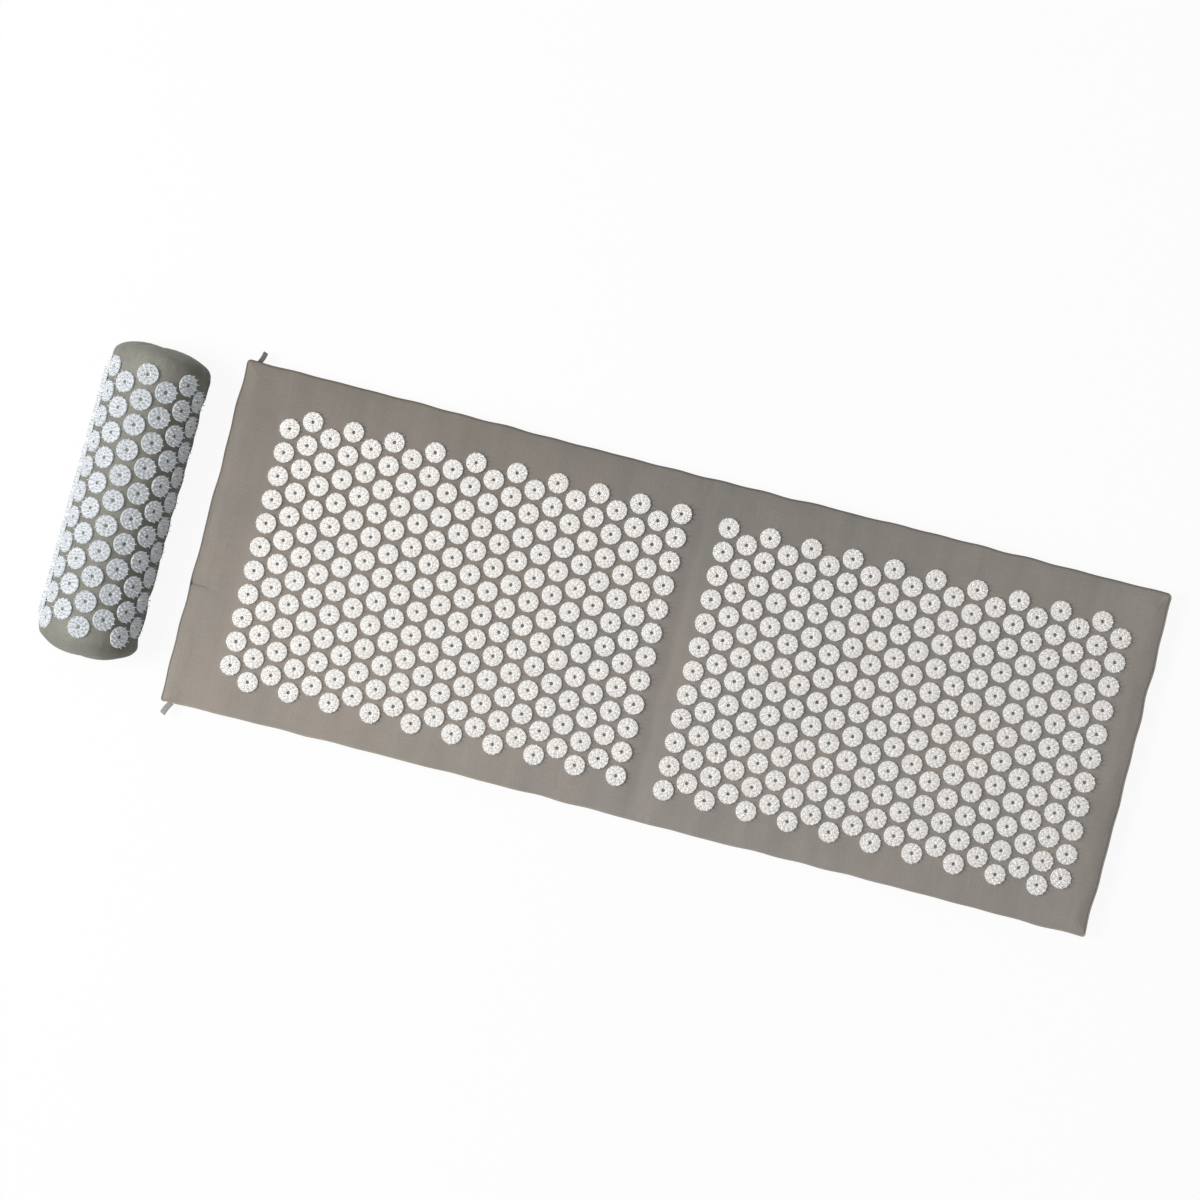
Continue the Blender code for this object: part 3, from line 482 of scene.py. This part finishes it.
# Places along an edge and how far the sewn edge strays there from the rectangle, in mm: to the rear on
# the long edges, and to the right on the ends
REAR_EDGE = ((-0.325, 0.3), (-0.10, 1.4), (0.15, 1.2), (0.35, 2.4), (0.65, 2.7), (0.85, 1.2), (0.985, 0.3))
FRONT_EDGE = ((-0.325, 1.6), (-0.10, 3.0), (0.10, 2.7), (0.25, 2.3), (0.42, 0.6), (0.60, 1.6), (0.76, 1.2),
              (0.88, -0.4), (0.985, -1.3))
LEFT_EDGE = ((-0.24, -3.2), (-0.18, -2.8), (-0.10, -2.2), (0.0, -1.4), (0.08, -0.6), (0.14, -0.2),
             (0.20, -0.9), (0.24, 0.6))
RIGHT_EDGE = ((-0.24, -3.2), (-0.19, -2.6), (-0.13, -0.4), (0.0, 0.2), (0.22, 0.6))


def trace(places, at):
    """Smooth run through a short list of places."""
    table = np.array(places)
    fine = np.linspace(table[0, 0], table[-1, 0], 240)
    values = np.interp(fine, table[:, 0], table[:, 1])
    kernel = np.hanning(25)
    padded = np.concatenate([np.full(12, values[0]), values, np.full(12, values[-1])])
    return np.interp(at, fine, np.convolve(padded, kernel / kernel.sum(), "valid"))


def edge_drift(outline, normals):
    """How far the sewn edge strays outwards at each point of the outline, in metres."""
    x, y = outline.T
    drift = np.where(normals[:, 1] > 0.7, trace(REAR_EDGE, x), 0.0)
    drift = np.where(normals[:, 1] < -0.7, -trace(FRONT_EDGE, x), drift)
    drift = np.where(normals[:, 0] > 0.7, trace(RIGHT_EDGE, y), drift)
    drift = np.where(normals[:, 0] < -0.7, -trace(LEFT_EDGE, y), drift)
    for _ in range(6):
        drift = (np.roll(drift, 1) + drift + np.roll(drift, -1)) / 3
    return drift * MM


def rear_flare(x, y):
    """The left half's rear edge runs out towards the left end, as in the part's source."""
    side = FOLD_X - FOLD_HALF
    return REAR_FLARE * np.clip((side - x) / (side - LEFT_END), 0, 1.1) * np.clip(y, 0, None) / HALF_WIDTH


SLOW_LUMPS, FINE_LUMPS = field(5, 0.34, 0.10, 9), field(23, 0.07, 0.03, 11)
MEANDER = waves(29, 0.36, 0.09, 6)


def crease(x, y):
    """Depth of the crease at the fold, as a share: steeper on its right side, and deeper to the front."""
    t = x - (FOLD_X - 0.0035 + 0.0040 * MEANDER(y))
    valley = np.where(t < 0, np.exp(-(t / 0.0135) ** 2), np.exp(-(t / 0.0105) ** 2))
    return valley * (0.85 + 0.25 * np.clip(-y / 0.2, -1, 1))


def lift(x, y, d):
    """Height added to the mat's top at a distance d from its edge."""
    edge = smooth(0.0, 0.020, d)
    height = 0.30 * MM * SLOW_LUMPS(x, y) * edge + 0.10 * MM * FINE_LUMPS(x, y) * edge
    # a short fold that runs in from the left end
    fold = np.exp(-((y + 0.071 + 0.0055 * smooth(-0.306, -0.270, x)) / 0.0040) ** 2)
    height = height - 2.6 * MM * fold * smooth(-0.258, -0.318, x)
    near = 1 - smooth(0.020, 0.045, d)
    height += 0.5 * MM * near * edge * FINE_LUMPS(x * 1.3, y * 1.3 + 4)
    return height - CREASE_DEPTH * crease(x, y) * (0.30 + 0.70 * smooth(0.0, 0.016, d))


def make_mat_cover():
    """The mat's whole cover: a grid for the top, rings down the rim, and a grid for the underside."""
    xs = np.concatenate([np.linspace(LEFT_END + SHOULDER, FOLD_X - FINE_REACH, 62)[:-1],
                         np.linspace(FOLD_X - FINE_REACH, FOLD_X + FINE_REACH, 27)[:-1],
                         np.linspace(FOLD_X + FINE_REACH, RIGHT_END - SHOULDER, 60)])
    # the rows are closer where the short fold runs in
    ys = np.linspace(-HALF_WIDTH + SHOULDER, HALF_WIDTH - SHOULDER, 55)
    ys = np.union1d(ys, np.linspace(-0.084, -0.060, 17))
    nx, ny = len(xs), len(ys)
    anchors, offsets, normals, grid = mat_outline(xs, ys)
    count = len(anchors)
    outline = anchors + offsets
    step = np.linalg.norm(np.roll(outline, -1, 0) - outline, axis=1)
    s = np.concatenate([[0], np.cumsum(step)[:-1]])

    wobble, ripple, gather = waves(3, 0.19, 0.055, 7), waves(11, 0.034, 0.013, 9), waves(17, 0.30, 0.08, 5)
    drift = edge_drift(outline, normals)
    leftness, rightness = np.clip(-normals[:, 0], 0, 1), np.clip(normals[:, 0], 0, 1)
    amplitude = (0.60 + 0.15 * leftness + 0.15 * rightness) * MM
    strength = (0.5 + 0.5 * np.clip(gather(s), -1, 1)) * (1 + 0.6 * leftness)
    # the left end's border stands out past the seam near both corners
    y = outline[:, 1]
    proud = 1.9 * np.exp(-((y - 0.148) / 0.024) ** 2) + 2.2 * np.exp(-((y + 0.212) / 0.018) ** 2)
    proud = leftness * proud * MM

    gx, gy = np.meshgrid(xs, ys, indexing="ij")
    gx, gy = gx.ravel(), gy.ravel()
    inset = np.minimum(np.minimum(gx - LEFT_END, RIGHT_END - gx), HALF_WIDTH - np.abs(gy))
    # between the discs the cloth lies at the height of their feet, and it never rises past them
    top = MAT_TOP + np.minimum(lift(gx, gy, inset), 0.00005)
    plan, flared = np.stack([gx, gy], 1), gy + rear_flare(gx, gy)
    points, uv_side, uv_plan = [np.stack([gx, flared, top], 1)], [plan], [plan]
    travel = 0.0
    last = (SHOULDER / MM, MAT_TOP / MM)
    profile = mat_profile()
    for i, z, pucker in profile:
        travel += math.hypot(i - last[0], z - last[1]) * MM
        last = (i, z)
        p = anchors + offsets * ((SHOULDER - i * MM) / SHOULDER)
        move = (amplitude * wobble(s) + drift) * smooth(24, 2, i)
        height = np.full(count, z * MM)
        if z > 20.8 and i > 0.7:
            height += lift(p[:, 0], p[:, 1], i * MM)
            height += 0.55 * MM * ripple(s) * pucker * strength * smooth(22, 5, i)
        elif z > 19:
            height += -CREASE_DEPTH * crease(p[:, 0], p[:, 1]) * 0.30 + 0.25 * MM * ripple(s) * pucker
        if 2.5 < z < 20:
            move = move + (0.5 * MM * ripple(s + 0.4) * strength + proud) * border_share(z)
            zip_side = leftness * smooth(MAT_ZIP_HALF + 0.003, MAT_ZIP_HALF - 0.003, np.abs(p[:, 1]))
            if ZIP_LOW < z < ZIP_HIGH:
                # room for the zip's pull once it is flipped over to the front
                pocket = leftness * smooth(0.2195, 0.2175, -p[:, 1]) * (p[:, 1] < 0)
                move = move * (1 - pocket) - pocket * (PULL_DEPTH - i) * MM
                move = move * (1 - zip_side) - zip_side * (ZIP_DEPTH - i) * MM
            else:
                move = move * (1 - 0.9 * zip_side)
        p = p + normals * move[:, None]
        p[:, 1] += rear_flare(p[:, 0], p[:, 1])
        points.append(np.column_stack([p, height]))
        uv_side.append(outline + normals * (travel - SHOULDER))
        uv_plan.append(p)
    points.append(np.stack([gx, flared, np.zeros(len(gx))], 1))
    points = np.concatenate(points)
    uv_side, uv_plan = np.concatenate(uv_side + [plan]), np.concatenate(uv_plan + [plan])

    quads = [(i * ny + j, (i + 1) * ny + j, (i + 1) * ny + j + 1, i * ny + j + 1)
             for i in range(nx - 1) for j in range(ny - 1)]
    faces, under = list(quads), [False] * len(quads)

    def join(a, b, low):
        """Faces between two rings, without the corners that fall together."""
        for k in range(count):
            m = (k + 1) % count
            face = tuple(dict.fromkeys((a[k], b[k], b[m], a[m])))
            if len(face) > 2:
                faces.append(face)
                under.append(low)

    rings = [nx * ny + r * count + np.arange(count) for r in range(len(profile))]
    below = nx * ny + len(profile) * count
    join(grid, rings[0], False)
    for r in range(len(rings) - 1):
        join(rings[r], rings[r + 1], r >= len(rings) - 5)
    join(rings[-1], grid + below, True)
    faces += [(below + a, below + d, below + c, below + b) for a, b, c, d in quads]
    under += [True] * len(quads)
    uv = [(uv_plan if low else uv_side)[v] for face, low in zip(faces, under) for v in face]
    cover = build("mat_cover", points, faces, uv, materials=[MAT_CLOTH])
    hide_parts("left_top_cover", "left_bottom_cover", "left_front_border", "left_rear_border",
                "left_end_border_lower", "left_end_border_upper", "left_foam_core", "fold_top_cover",
                "fold_foam_web", "right_top_cover", "right_bottom_cover", "right_front_border",
                "right_rear_border", "right_end_border", "right_foam_core")
    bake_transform(cover)


make_mat_cover()


# discs
def disc_shape():
    """One disc as a single closed skin: round plate with a hole, and 27 spikes in rings of 6, 9 and 12."""
    points, faces = [], []

    def ring(count, radius, z, x=0.0, y=0.0, turn=0.0):
        first = len(points)
        for k in range(count):
            a = TAU * k / count + turn
            points.append((x + radius * math.cos(a), y + radius * math.sin(a), z))
        return list(range(first, first + count))

    def band(inner, outer):
        for k in range(len(inner)):
            m = (k + 1) % len(inner)
            faces.append((inner[k], outer[k], outer[m], inner[m]))

    shoulder = ring(HOLE_SIDES, *HOLE_SHOULDER)
    rim = ring(PLATE_SIDES, *PLATE_RIM)
    spikes = []
    for count, radius, base, lean, turn in SPIKES:
        for k in range(count):
            a = TAU * k / count + turn
            x, y = radius * math.cos(a), radius * math.sin(a)
            spikes.append((ring(SPIKE_SIDES, base, HOLE_SHOULDER[1], x, y, a), x, y, base, lean, a))
    # the plate's top fills what the hole and the spikes leave
    loops = [shoulder, rim] + [spike[0] for spike in spikes]
    edges = [(loop[k], loop[(k + 1) % len(loop)]) for loop in loops for k in range(len(loop))]
    plane = [Vector(p[:2]) for p in points]
    _, _, triangles, source, _, _ = delaunay_2d_cdt(plane, edges, [], 0, 1e-5)
    owner = {v: i for i, loop in enumerate(loops) for v in loop}
    for triangle in triangles:
        face = tuple(source[v][0] for v in triangle)
        inside = {owner[v] for v in face}
        if len(inside) > 1 or inside == {1}:
            faces.append(face)
    lip = ring(HOLE_SIDES, *HOLE_LIP)
    low = ring(HOLE_SIDES, *HOLE_FOOT)
    edge = ring(PLATE_SIDES, *PLATE_EDGE)
    foot = ring(PLATE_SIDES, *PLATE_FOOT)
    for inner, outer in ((low, lip), (lip, shoulder), (rim, edge), (edge, foot)):
        band(inner, outer)
    for k in range(HOLE_SIDES):
        m = (k + 1) % HOLE_SIDES
        faces.append((foot[2 * k], low[k], low[m], foot[2 * m], foot[2 * k + 1]))
    for last, x, y, base, lean, a in spikes:
        for size, z, share in SPIKE_STEPS:
            far = lean * share
            level = ring(SPIKE_SIDES, base * size, z, x + far * math.cos(a), y + far * math.sin(a), a)
            for k in range(SPIKE_SIDES):
                m = (k + 1) % SPIKE_SIDES
                faces.append((last[k], last[m], level[m], level[k]))
            last = level
        points.append((x + lean * math.cos(a), y + lean * math.sin(a), SPIKE_TIP))
        for k in range(SPIKE_SIDES):
            faces.append((last[k], last[(k + 1) % SPIKE_SIDES], len(points) - 1))
    return np.array(points) * MM, faces


DISC_POINTS, DISC_FACES = disc_shape()


def make_discs(name, places, node, body, material, stretch=1.0, seed=0):
    """Discs at a list of 4x4 places, each turned at random, joined into one piece."""
    rng = np.random.default_rng(seed)
    points, faces = [], []
    for i, place in enumerate(places):
        turn = Matrix.Rotation(rng.random() * TAU, 4, "Z") @ Matrix.Diagonal((stretch, stretch, 1, 1))
        m = np.array(place @ turn)
        points.append(DISC_POINTS @ m[:3, :3].T + m[:3, 3])
        faces += [tuple(v + i * len(DISC_POINTS) for v in face) for face in DISC_FACES]
    item = build(name, np.concatenate(points), faces, sharp=math.radians(42), materials=[material])
    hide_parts(node)
    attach(item, body)


for side, direction, shift, seed in (("left", -1, 0.0, 100), ("right", 1, RIGHT_SHIFT, 200)):
    for strip in range(10):
        places = []
        for column in (2 * strip, 2 * strip + 1):
            rows = 12 - column % 2
            x = FOLD_X + direction * (FIELD_GAP / 2 + COLUMN_PITCH * column)
            for row in range(rows):
                y = PITCH * (row - (rows - 1) / 2) + shift
                places.append(Matrix.Translation((x, y, DISC_SEAT)))
        node = f"{side}_disc_strip_{strip + 1:02d}"
        make_discs(f"{side}_discs_{strip + 1:02d}", places, node, f"mat_{side}_half", MAT_PLASTIC,
                   seed=strip + seed)

for i, letter in enumerate("abcdefg"):
    rows = 10 + i % 2
    axis = PILLOW_PLACE @ Matrix.Translation((0, 0, PILLOW_AXIS))
    seat = axis @ Matrix.Rotation(LINE_STEP * (i - 3), 4, "Y")
    seat = seat @ Matrix.Translation((0, 0, PILLOW_RADIUS * math.cos(LINE_STEP / 2) + 0.0005))
    places = [seat @ Matrix.Translation((0, PILLOW_PITCH * (row - (rows - 1) / 2), 0))
              for row in range(rows)]
    make_discs(f"pillow_discs_{letter}", places, f"pillow_disc_line_{letter}", "pillow", PILLOW_PLASTIC_PAINTED_SHADE,
               stretch=PILLOW_DISC_RADIUS / DISC_RADIUS, seed=300 + i)


# pillow cover
def inflate(item, held, pressure, limit, slack, steps=20):
    """Fills the cover as cloth with air behind it, some points held, and keeps the shape it takes. slack is
    the share by which the cloth is larger than its outline, and limit is the most that a point moves."""
    mesh = item.data
    start = np.empty(len(mesh.vertices) * 3)
    mesh.vertices.foreach_get("co", start)
    group = item.vertex_groups.new(name="held")
    group.add([int(i) for i in np.nonzero(held)[0]], 1.0, "REPLACE")
    cloth = item.modifiers.new("cloth", "CLOTH")
    cloth.settings.quality = 6
    cloth.settings.vertex_group_mass = "held"
    cloth.settings.use_pressure = True
    cloth.settings.uniform_pressure_force = pressure
    cloth.settings.shrink_min = -slack
    cloth.settings.effector_weights.gravity = 0
    cloth.collision_settings.use_collision = False
    cloth.point_cache.frame_start = 1
    cloth.point_cache.frame_end = steps
    for step in range(1, steps + 1):
        scene.frame_set(step)
    end = np.empty(len(start))
    item.evaluated_get(bpy.context.evaluated_depsgraph_get()).data.vertices.foreach_get("co", end)
    move = (end - start).reshape(-1, 3)
    length = np.linalg.norm(move, axis=1)
    move *= (limit * np.tanh(length / limit) / np.maximum(length, 1e-9))[:, None]
    # each point that isn't held takes half of its neighbours' mean move, twice
    edges = np.empty(len(mesh.edges) * 2, np.int32)
    mesh.edges.foreach_get("vertices", edges)
    edges = edges.reshape(-1, 2)
    pairs = np.concatenate([edges, edges[:, ::-1]])
    reach = np.bincount(pairs[:, 0], minlength=len(move))[:, None]
    for _ in range(2):
        near = np.zeros_like(move)
        np.add.at(near, pairs[:, 0], move[pairs[:, 1]])
        move = np.where(held[:, None], move, 0.5 * move + 0.5 * near / np.maximum(reach, 1))
    item.modifiers.remove(cloth)
    item.vertex_groups.remove(group)
    mesh.vertices.foreach_set("co", (start.reshape(-1, 3) + move).ravel())
    scene.frame_set(1)
    mesh.update()


def pillow_section(radius):
    """Section of the cover from the front: from the left over the top, down, and back along the base."""
    arc = [(radius * math.sin(a), PILLOW_AXIS + radius * math.cos(a))
           for a in np.radians(np.linspace(-90, 90, 49))]
    right = [(radius, z) for z in (0.026, 0.0215, 0.0200, 0.0196, 0.0165, 0.0134, 0.0130, 0.0115)]
    flat = radius - FOOT_ROUND
    right += [(flat + FOOT_ROUND * math.cos(a), FOOT_ROUND - FOOT_ROUND * math.sin(a))
              for a in np.linspace(0.0, math.pi / 2, 6)]
    base = [(x, 0.0) for x in np.linspace(flat, -flat, 17)[1:-1]]
    return np.array(arc + right + base + [(-x, z) for x, z in right[::-1]])


def make_pillow_cover():
    """The pillow's whole cover: rings along its length, and rings that close each end round a tip."""
    radius, middle = PILLOW_RADIUS - 0.0004, SECTION_MIDDLE
    section = pillow_section(radius)
    n = len(section)
    steps = np.linalg.norm(np.roll(section, -1, 0) - section, axis=1)
    around = np.concatenate([[0], np.cumsum(steps)[:-1]])
    tangent = np.roll(section, -1, 0) - np.roll(section, 1, 0)
    normal = np.stack([-tangent[:, 1], tangent[:, 0]], 1)
    normal /= np.linalg.norm(normal, axis=1)[:, None]
    at_left = np.abs(section[:, 0] + radius) < 0.0005
    zip_share = (section[:, 0] < -radius + 0.0005) & (section[:, 1] > 0.0132) & (section[:, 1] < 0.0198)
    # sides below the discs belly out a little
    belly = 0.9 * MM * np.exp(-((section[:, 1] - 0.017) / 0.010) ** 2) * np.abs(normal[:, 0])
    # towards the middle of an end the outline turns into an oval, so that no ridge runs in from its corners
    spread = section - middle
    angle = np.arctan2(spread[:, 1] / OVAL[1], spread[:, 0] / OVAL[0])
    oval = middle + np.column_stack([OVAL[0] * np.cos(angle), OVAL[1] * np.sin(angle)])
    slow, fine, pucker = field(41, 0.20, 0.06, 8), field(43, 0.045, 0.018, 10), waves(47, 0.019, 0.0085, 8)
    dome = field(53, 0.11, 0.035, 7)

    def share_at(y):
        """Size of the section at a place along the pillow, as a share: round ends, and straight between."""
        t = np.clip((abs(y) - PILLOW_TURN) / PILLOW_NOSE[int(y > 0)], 0, 1)
        return (1 - t ** PILLOW_ROUND[int(y > 0)]) ** (1 / PILLOW_ROUND[int(y > 0)])

    def ring(y, draw, puff):
        """Section at a place along the pillow, drawn in by a share, with a share of the end's pucker."""
        out = 0.55 * MM * slow(around, y) * smooth(0.150, 0.190, abs(y)) + 0.25 * MM * fine(around, y)
        out = out + 0.55 * MM * pucker(around + y * 0.2) * puff
        out = out + belly * (1 - 0.9 * at_left * (abs(y) < PILLOW_ZIP_HALF + 0.004))
        p = middle + (section - middle) * (1 - draw) + normal * out[:, None]
        p[:, 0] += smooth(PILLOW_ZIP_HALF + 0.002, PILLOW_ZIP_HALF - 0.002, abs(y)) * zip_share * 0.0034
        p[:, 1] = np.maximum(p[:, 1], 0.0)
        return p

    def cap(sign, shares):
        """Rings that close an end, each drawn in by a share, from the last full ring inwards."""
        out = []
        nose, power = PILLOW_NOSE[sign > 0], PILLOW_ROUND[sign > 0]
        for t in shares:
            rise = nose * (1 - (1 - t) ** power) ** (1 / power)
            p = ring(sign * PILLOW_HALF, 0.0, math.exp(-t / 0.15))
            p = p + (oval - section) * float(smooth(0.05, 0.75, t))
            p = middle + (p - middle) * (1 - t)
            y = sign * (PILLOW_TURN + rise + 0.7 * MM * dome(p[:, 0], p[:, 1]) * float(smooth(0.1, 0.4, t)))
            out.append(np.column_stack([p[:, 0], y, p[:, 1]]))
        return out

    ys = [-(PILLOW_HALF - v * MM) for v in (0.0, 0.8, 1.8, 3.0, 5.5, 9.0, 14.0, 20.0)]
    ys = np.array(ys + list(np.linspace(-0.169, 0.169, 49)) + [-v for v in ys[::-1]])
    rings = []
    for y in ys:
        p = ring(y, 1 - share_at(y), float(smooth(0.172, 0.196, abs(y))))
        rings.append(np.column_stack([p[:, 0], np.full(n, y), p[:, 1]]))
    front = cap(-1, (0.07, 0.10, 0.14, 0.19, 0.25, 0.32, 0.40, 0.49, 0.59, 0.70, 0.80, 0.90))
    rear = cap(1, (0.016, 0.03, 0.05, 0.08, 0.12, 0.17, 0.24, 0.33, 0.44, 0.57, 0.71, 0.86))
    rows = front[::-1] + rings + rear
    tips = [(middle[0], y, middle[1]) for y in (-PILLOW_TURN - PILLOW_NOSE[0], PILLOW_TURN + PILLOW_NOSE[1])]
    points = np.concatenate(rows + [np.array(tips)])

    # the cloth's weave runs round the pillow along its length, and lies flat over its ends
    flat = points[:, [0, 2]]
    tube = np.zeros((len(points), 2))
    first = len(front) * n
    tube[first:first + len(rings) * n] = np.column_stack([np.tile(around, len(ys)), np.repeat(ys, n)])
    total = float(around[-1] + steps[-1])
    faces, uv = [], []
    for r in range(len(rows) - 1):
        wrap = len(front) <= r < len(front) + len(rings) - 1
        for k in range(n):
            m = (k + 1) % n
            face = (r * n + k, r * n + m, (r + 1) * n + m, (r + 1) * n + k)
            faces.append(face)
            corners = (tube if wrap else flat)[list(face)]
            if wrap and m == 0:
                corners[1:3, 0] += total
            uv += list(corners)
    tip, end = len(points) - 2, (len(rows) - 1) * n
    for k in range(n):
        m = (k + 1) % n
        for face in ((tip, m, k), (tip + 1, end + k, end + m)):
            faces.append(face)
            uv += [flat[v] for v in face]
    cover = build("pillow_wrap", points, faces, uv, materials=[PILLOW_CLOTH])
    x, y, z = points.T
    at_discs = (np.abs(np.arctan2(x, z - PILLOW_AXIS)) < 3.45 * LINE_STEP) & (z > PILLOW_AXIS)
    at_discs &= np.abs(y) < PILLOW_HALF - 0.001
    at_zip = (x < 0) & (z > 0.011) & (z < 0.022) & (np.abs(y) < PILLOW_ZIP_HALF + 0.006)
    inflate(cover, at_discs | at_zip | (z < 0.0008), 4.0, 0.005, 0.03)
    cover.matrix_world = PILLOW_PLACE
    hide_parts("pillow_cover", "pillow_zip_flap", "pillow_base", "pillow_front_end",
                "pillow_rear_end", "pillow_foam_core")
    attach(cover, "pillow")


make_pillow_cover()


# zips
def make_zip(prefix, place, tape_x, height, half, body):
    """Tapes with interlocking nylon teeth in place of the two plain zip halves."""
    for word, sign in (("lower", -1), ("upper", 1)):
        points, faces, kinds = [], [], []

        def block(x0, x1, y0, y1, edges, kind, c=0.0):
            """Bar between two places in x and y and two distances from the zip's middle, its corners cut."""
            z0, z1 = edges
            outline = [(y0, z0), (y1, z0), (y1, z1), (y0, z1)]
            if c:
                outline = [(y0 + c, z0), (y1 - c, z0), (y1, z0 + c), (y1, z1 - c),
                           (y1 - c, z1), (y0 + c, z1), (y0, z1 - c), (y0, z0 + c)]
            a, k = len(points), len(outline)
            for x in (x0, x1):
                points.extend((x, y, height + sign * z) for y, z in outline)
            sides = [(a + i, a + (i + 1) % k, a + k + (i + 1) % k, a + k + i) for i in range(k)]
            caps = [tuple(range(a + k - 1, a - 1, -1)), tuple(range(a + k, a + 2 * k))]
            faces.extend(face[::-sign] for face in sides + caps)
            kinds.extend([kind] * (k + 2))

        block(tape_x, tape_x + TAPE_THICK, -half, half, TAPE_EDGES, 0)
        for i in range(int(2 * half / TOOTH_PITCH) - 2):
            y = -half + (i + 1 + (0.5 if sign > 0 else 0.0)) * TOOTH_PITCH
            block(tape_x - TOOTH_DEPTH, tape_x, y - TOOTH_HALF, y + TOOTH_HALF, TOOTH_EDGES, 1, TOOTH_ROUND)
        item = build(f"{prefix}_zip_teeth_{word}", points, faces, sharp=math.radians(35),
                     materials=[ZIP_TAPE, ZIP_NYLON], kinds=kinds)
        item.matrix_world = place
        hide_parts(f"{prefix}_zip_{word}_half")
        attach(item, body)


mat_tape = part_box("mat_zip_upper_half")[0][0] + TOOTH_DEPTH
make_zip("mat", Matrix.Identity(4), mat_tape, MAT_ZIP_Z, MAT_ZIP_HALF, "mat_left_half")
pillow_tape = 0.0013 - PILLOW_RADIUS * math.sin(3.5 * LINE_STEP)
make_zip("pillow", PILLOW_PLACE, pillow_tape, PILLOW_ZIP_Z, PILLOW_ZIP_HALF, "pillow")

for name in ("mat_zip_slider", "mat_zip_pull", "pillow_zip_slider", "pillow_zip_pull"):
    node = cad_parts[name]
    if node.material_slots:
        for entry in node.material_slots:
            entry.material = ZIP_METAL
    else:
        node.data.materials.append(ZIP_METAL)


# corner loops
def make_loop(name, tilt, length, width, node, tape):
    """Ribbed tape folded over on itself, both ends caught in the border seam and its fold pointing out."""
    low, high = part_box(node)
    out = Vector((-math.sin(tilt), math.cos(tilt), 0))
    side = Vector((out.y, -out.x, 0))
    root = (Vector(low) + Vector(high)) / 2 - out * PLAIN_LOOP / 2
    straight = length - LOOP_RADIUS
    leg = [(LOOP_RADIUS * (0.55 + 0.45 * math.sin(math.pi * t / 2)), (straight + LOOP_SUNK) * t - LOOP_SUNK)
           for t in np.linspace(0, 1, 30)]
    turn = math.pi * (1 - np.linspace(0, 1, 16)[1:-1])
    fold = [(LOOP_RADIUS * math.cos(a), straight + LOOP_RADIUS * math.sin(a)) for a in turn]
    path = np.array([(-x, y) for x, y in leg] + fold + leg[::-1])
    tangent = np.gradient(path, axis=0)
    tangent /= np.linalg.norm(tangent, axis=1)[:, None]
    normal = np.stack([-tangent[:, 1], tangent[:, 0]], 1)
    run = np.concatenate([[0], np.cumsum(np.linalg.norm(np.diff(path, axis=0), axis=1))])
    # half thickness across the tape, in mm: thick at each ridge and thin at both edges
    across = np.linspace(-1, 1, RIDGES * 8 + 1)
    thick = 0.33 + 0.13 * np.cos((across + 1) * math.pi * RIDGES - math.pi)
    thick[[0, -1]] = 0.16
    points, faces, flat = [], [], []
    for i, (p, q) in enumerate(zip(path, normal)):
        rib = 0.06 * math.cos(TAU * run[i] / RIB_PITCH)
        bend = 0.0008 * math.sin(math.pi * min(max(p[1], 0) / length, 1))
        for sign in (1, -1):
            for w, t in list(zip(across, thick))[::sign]:
                a = p + q * sign * (t + rib) * MM
                points.append(root + side * (w * width / 2 + bend) + out * a[1] + Vector((0, 0, a[0])))
                flat.append(((w + 1) / 2 + 0.5 / RIDGES, run[i]))
    n = len(across) * 2
    last = (len(path) - 1) * n
    for i in range(0, last, n):
        for k in range(n):
            m = (k + 1) % n
            faces.append((i + k, i + n + k, i + n + m, i + m))
    faces += [tuple(range(n)), tuple(range(last + n - 1, last - 1, -1))]
    item = build(name, points, faces, [flat[v] for face in faces for v in face], math.radians(60), [tape])
    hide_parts(node)
    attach(item, "mat_left_half")


make_loop("rear_tape_loop", math.radians(-19), 0.0166, 0.0064, "rear_corner_loop", REAR_TAPE)
make_loop("front_tape_loop", math.pi + math.radians(-26), 0.0178, 0.0078, "front_corner_loop", FRONT_TAPE)

bpy.context.view_layer.update()
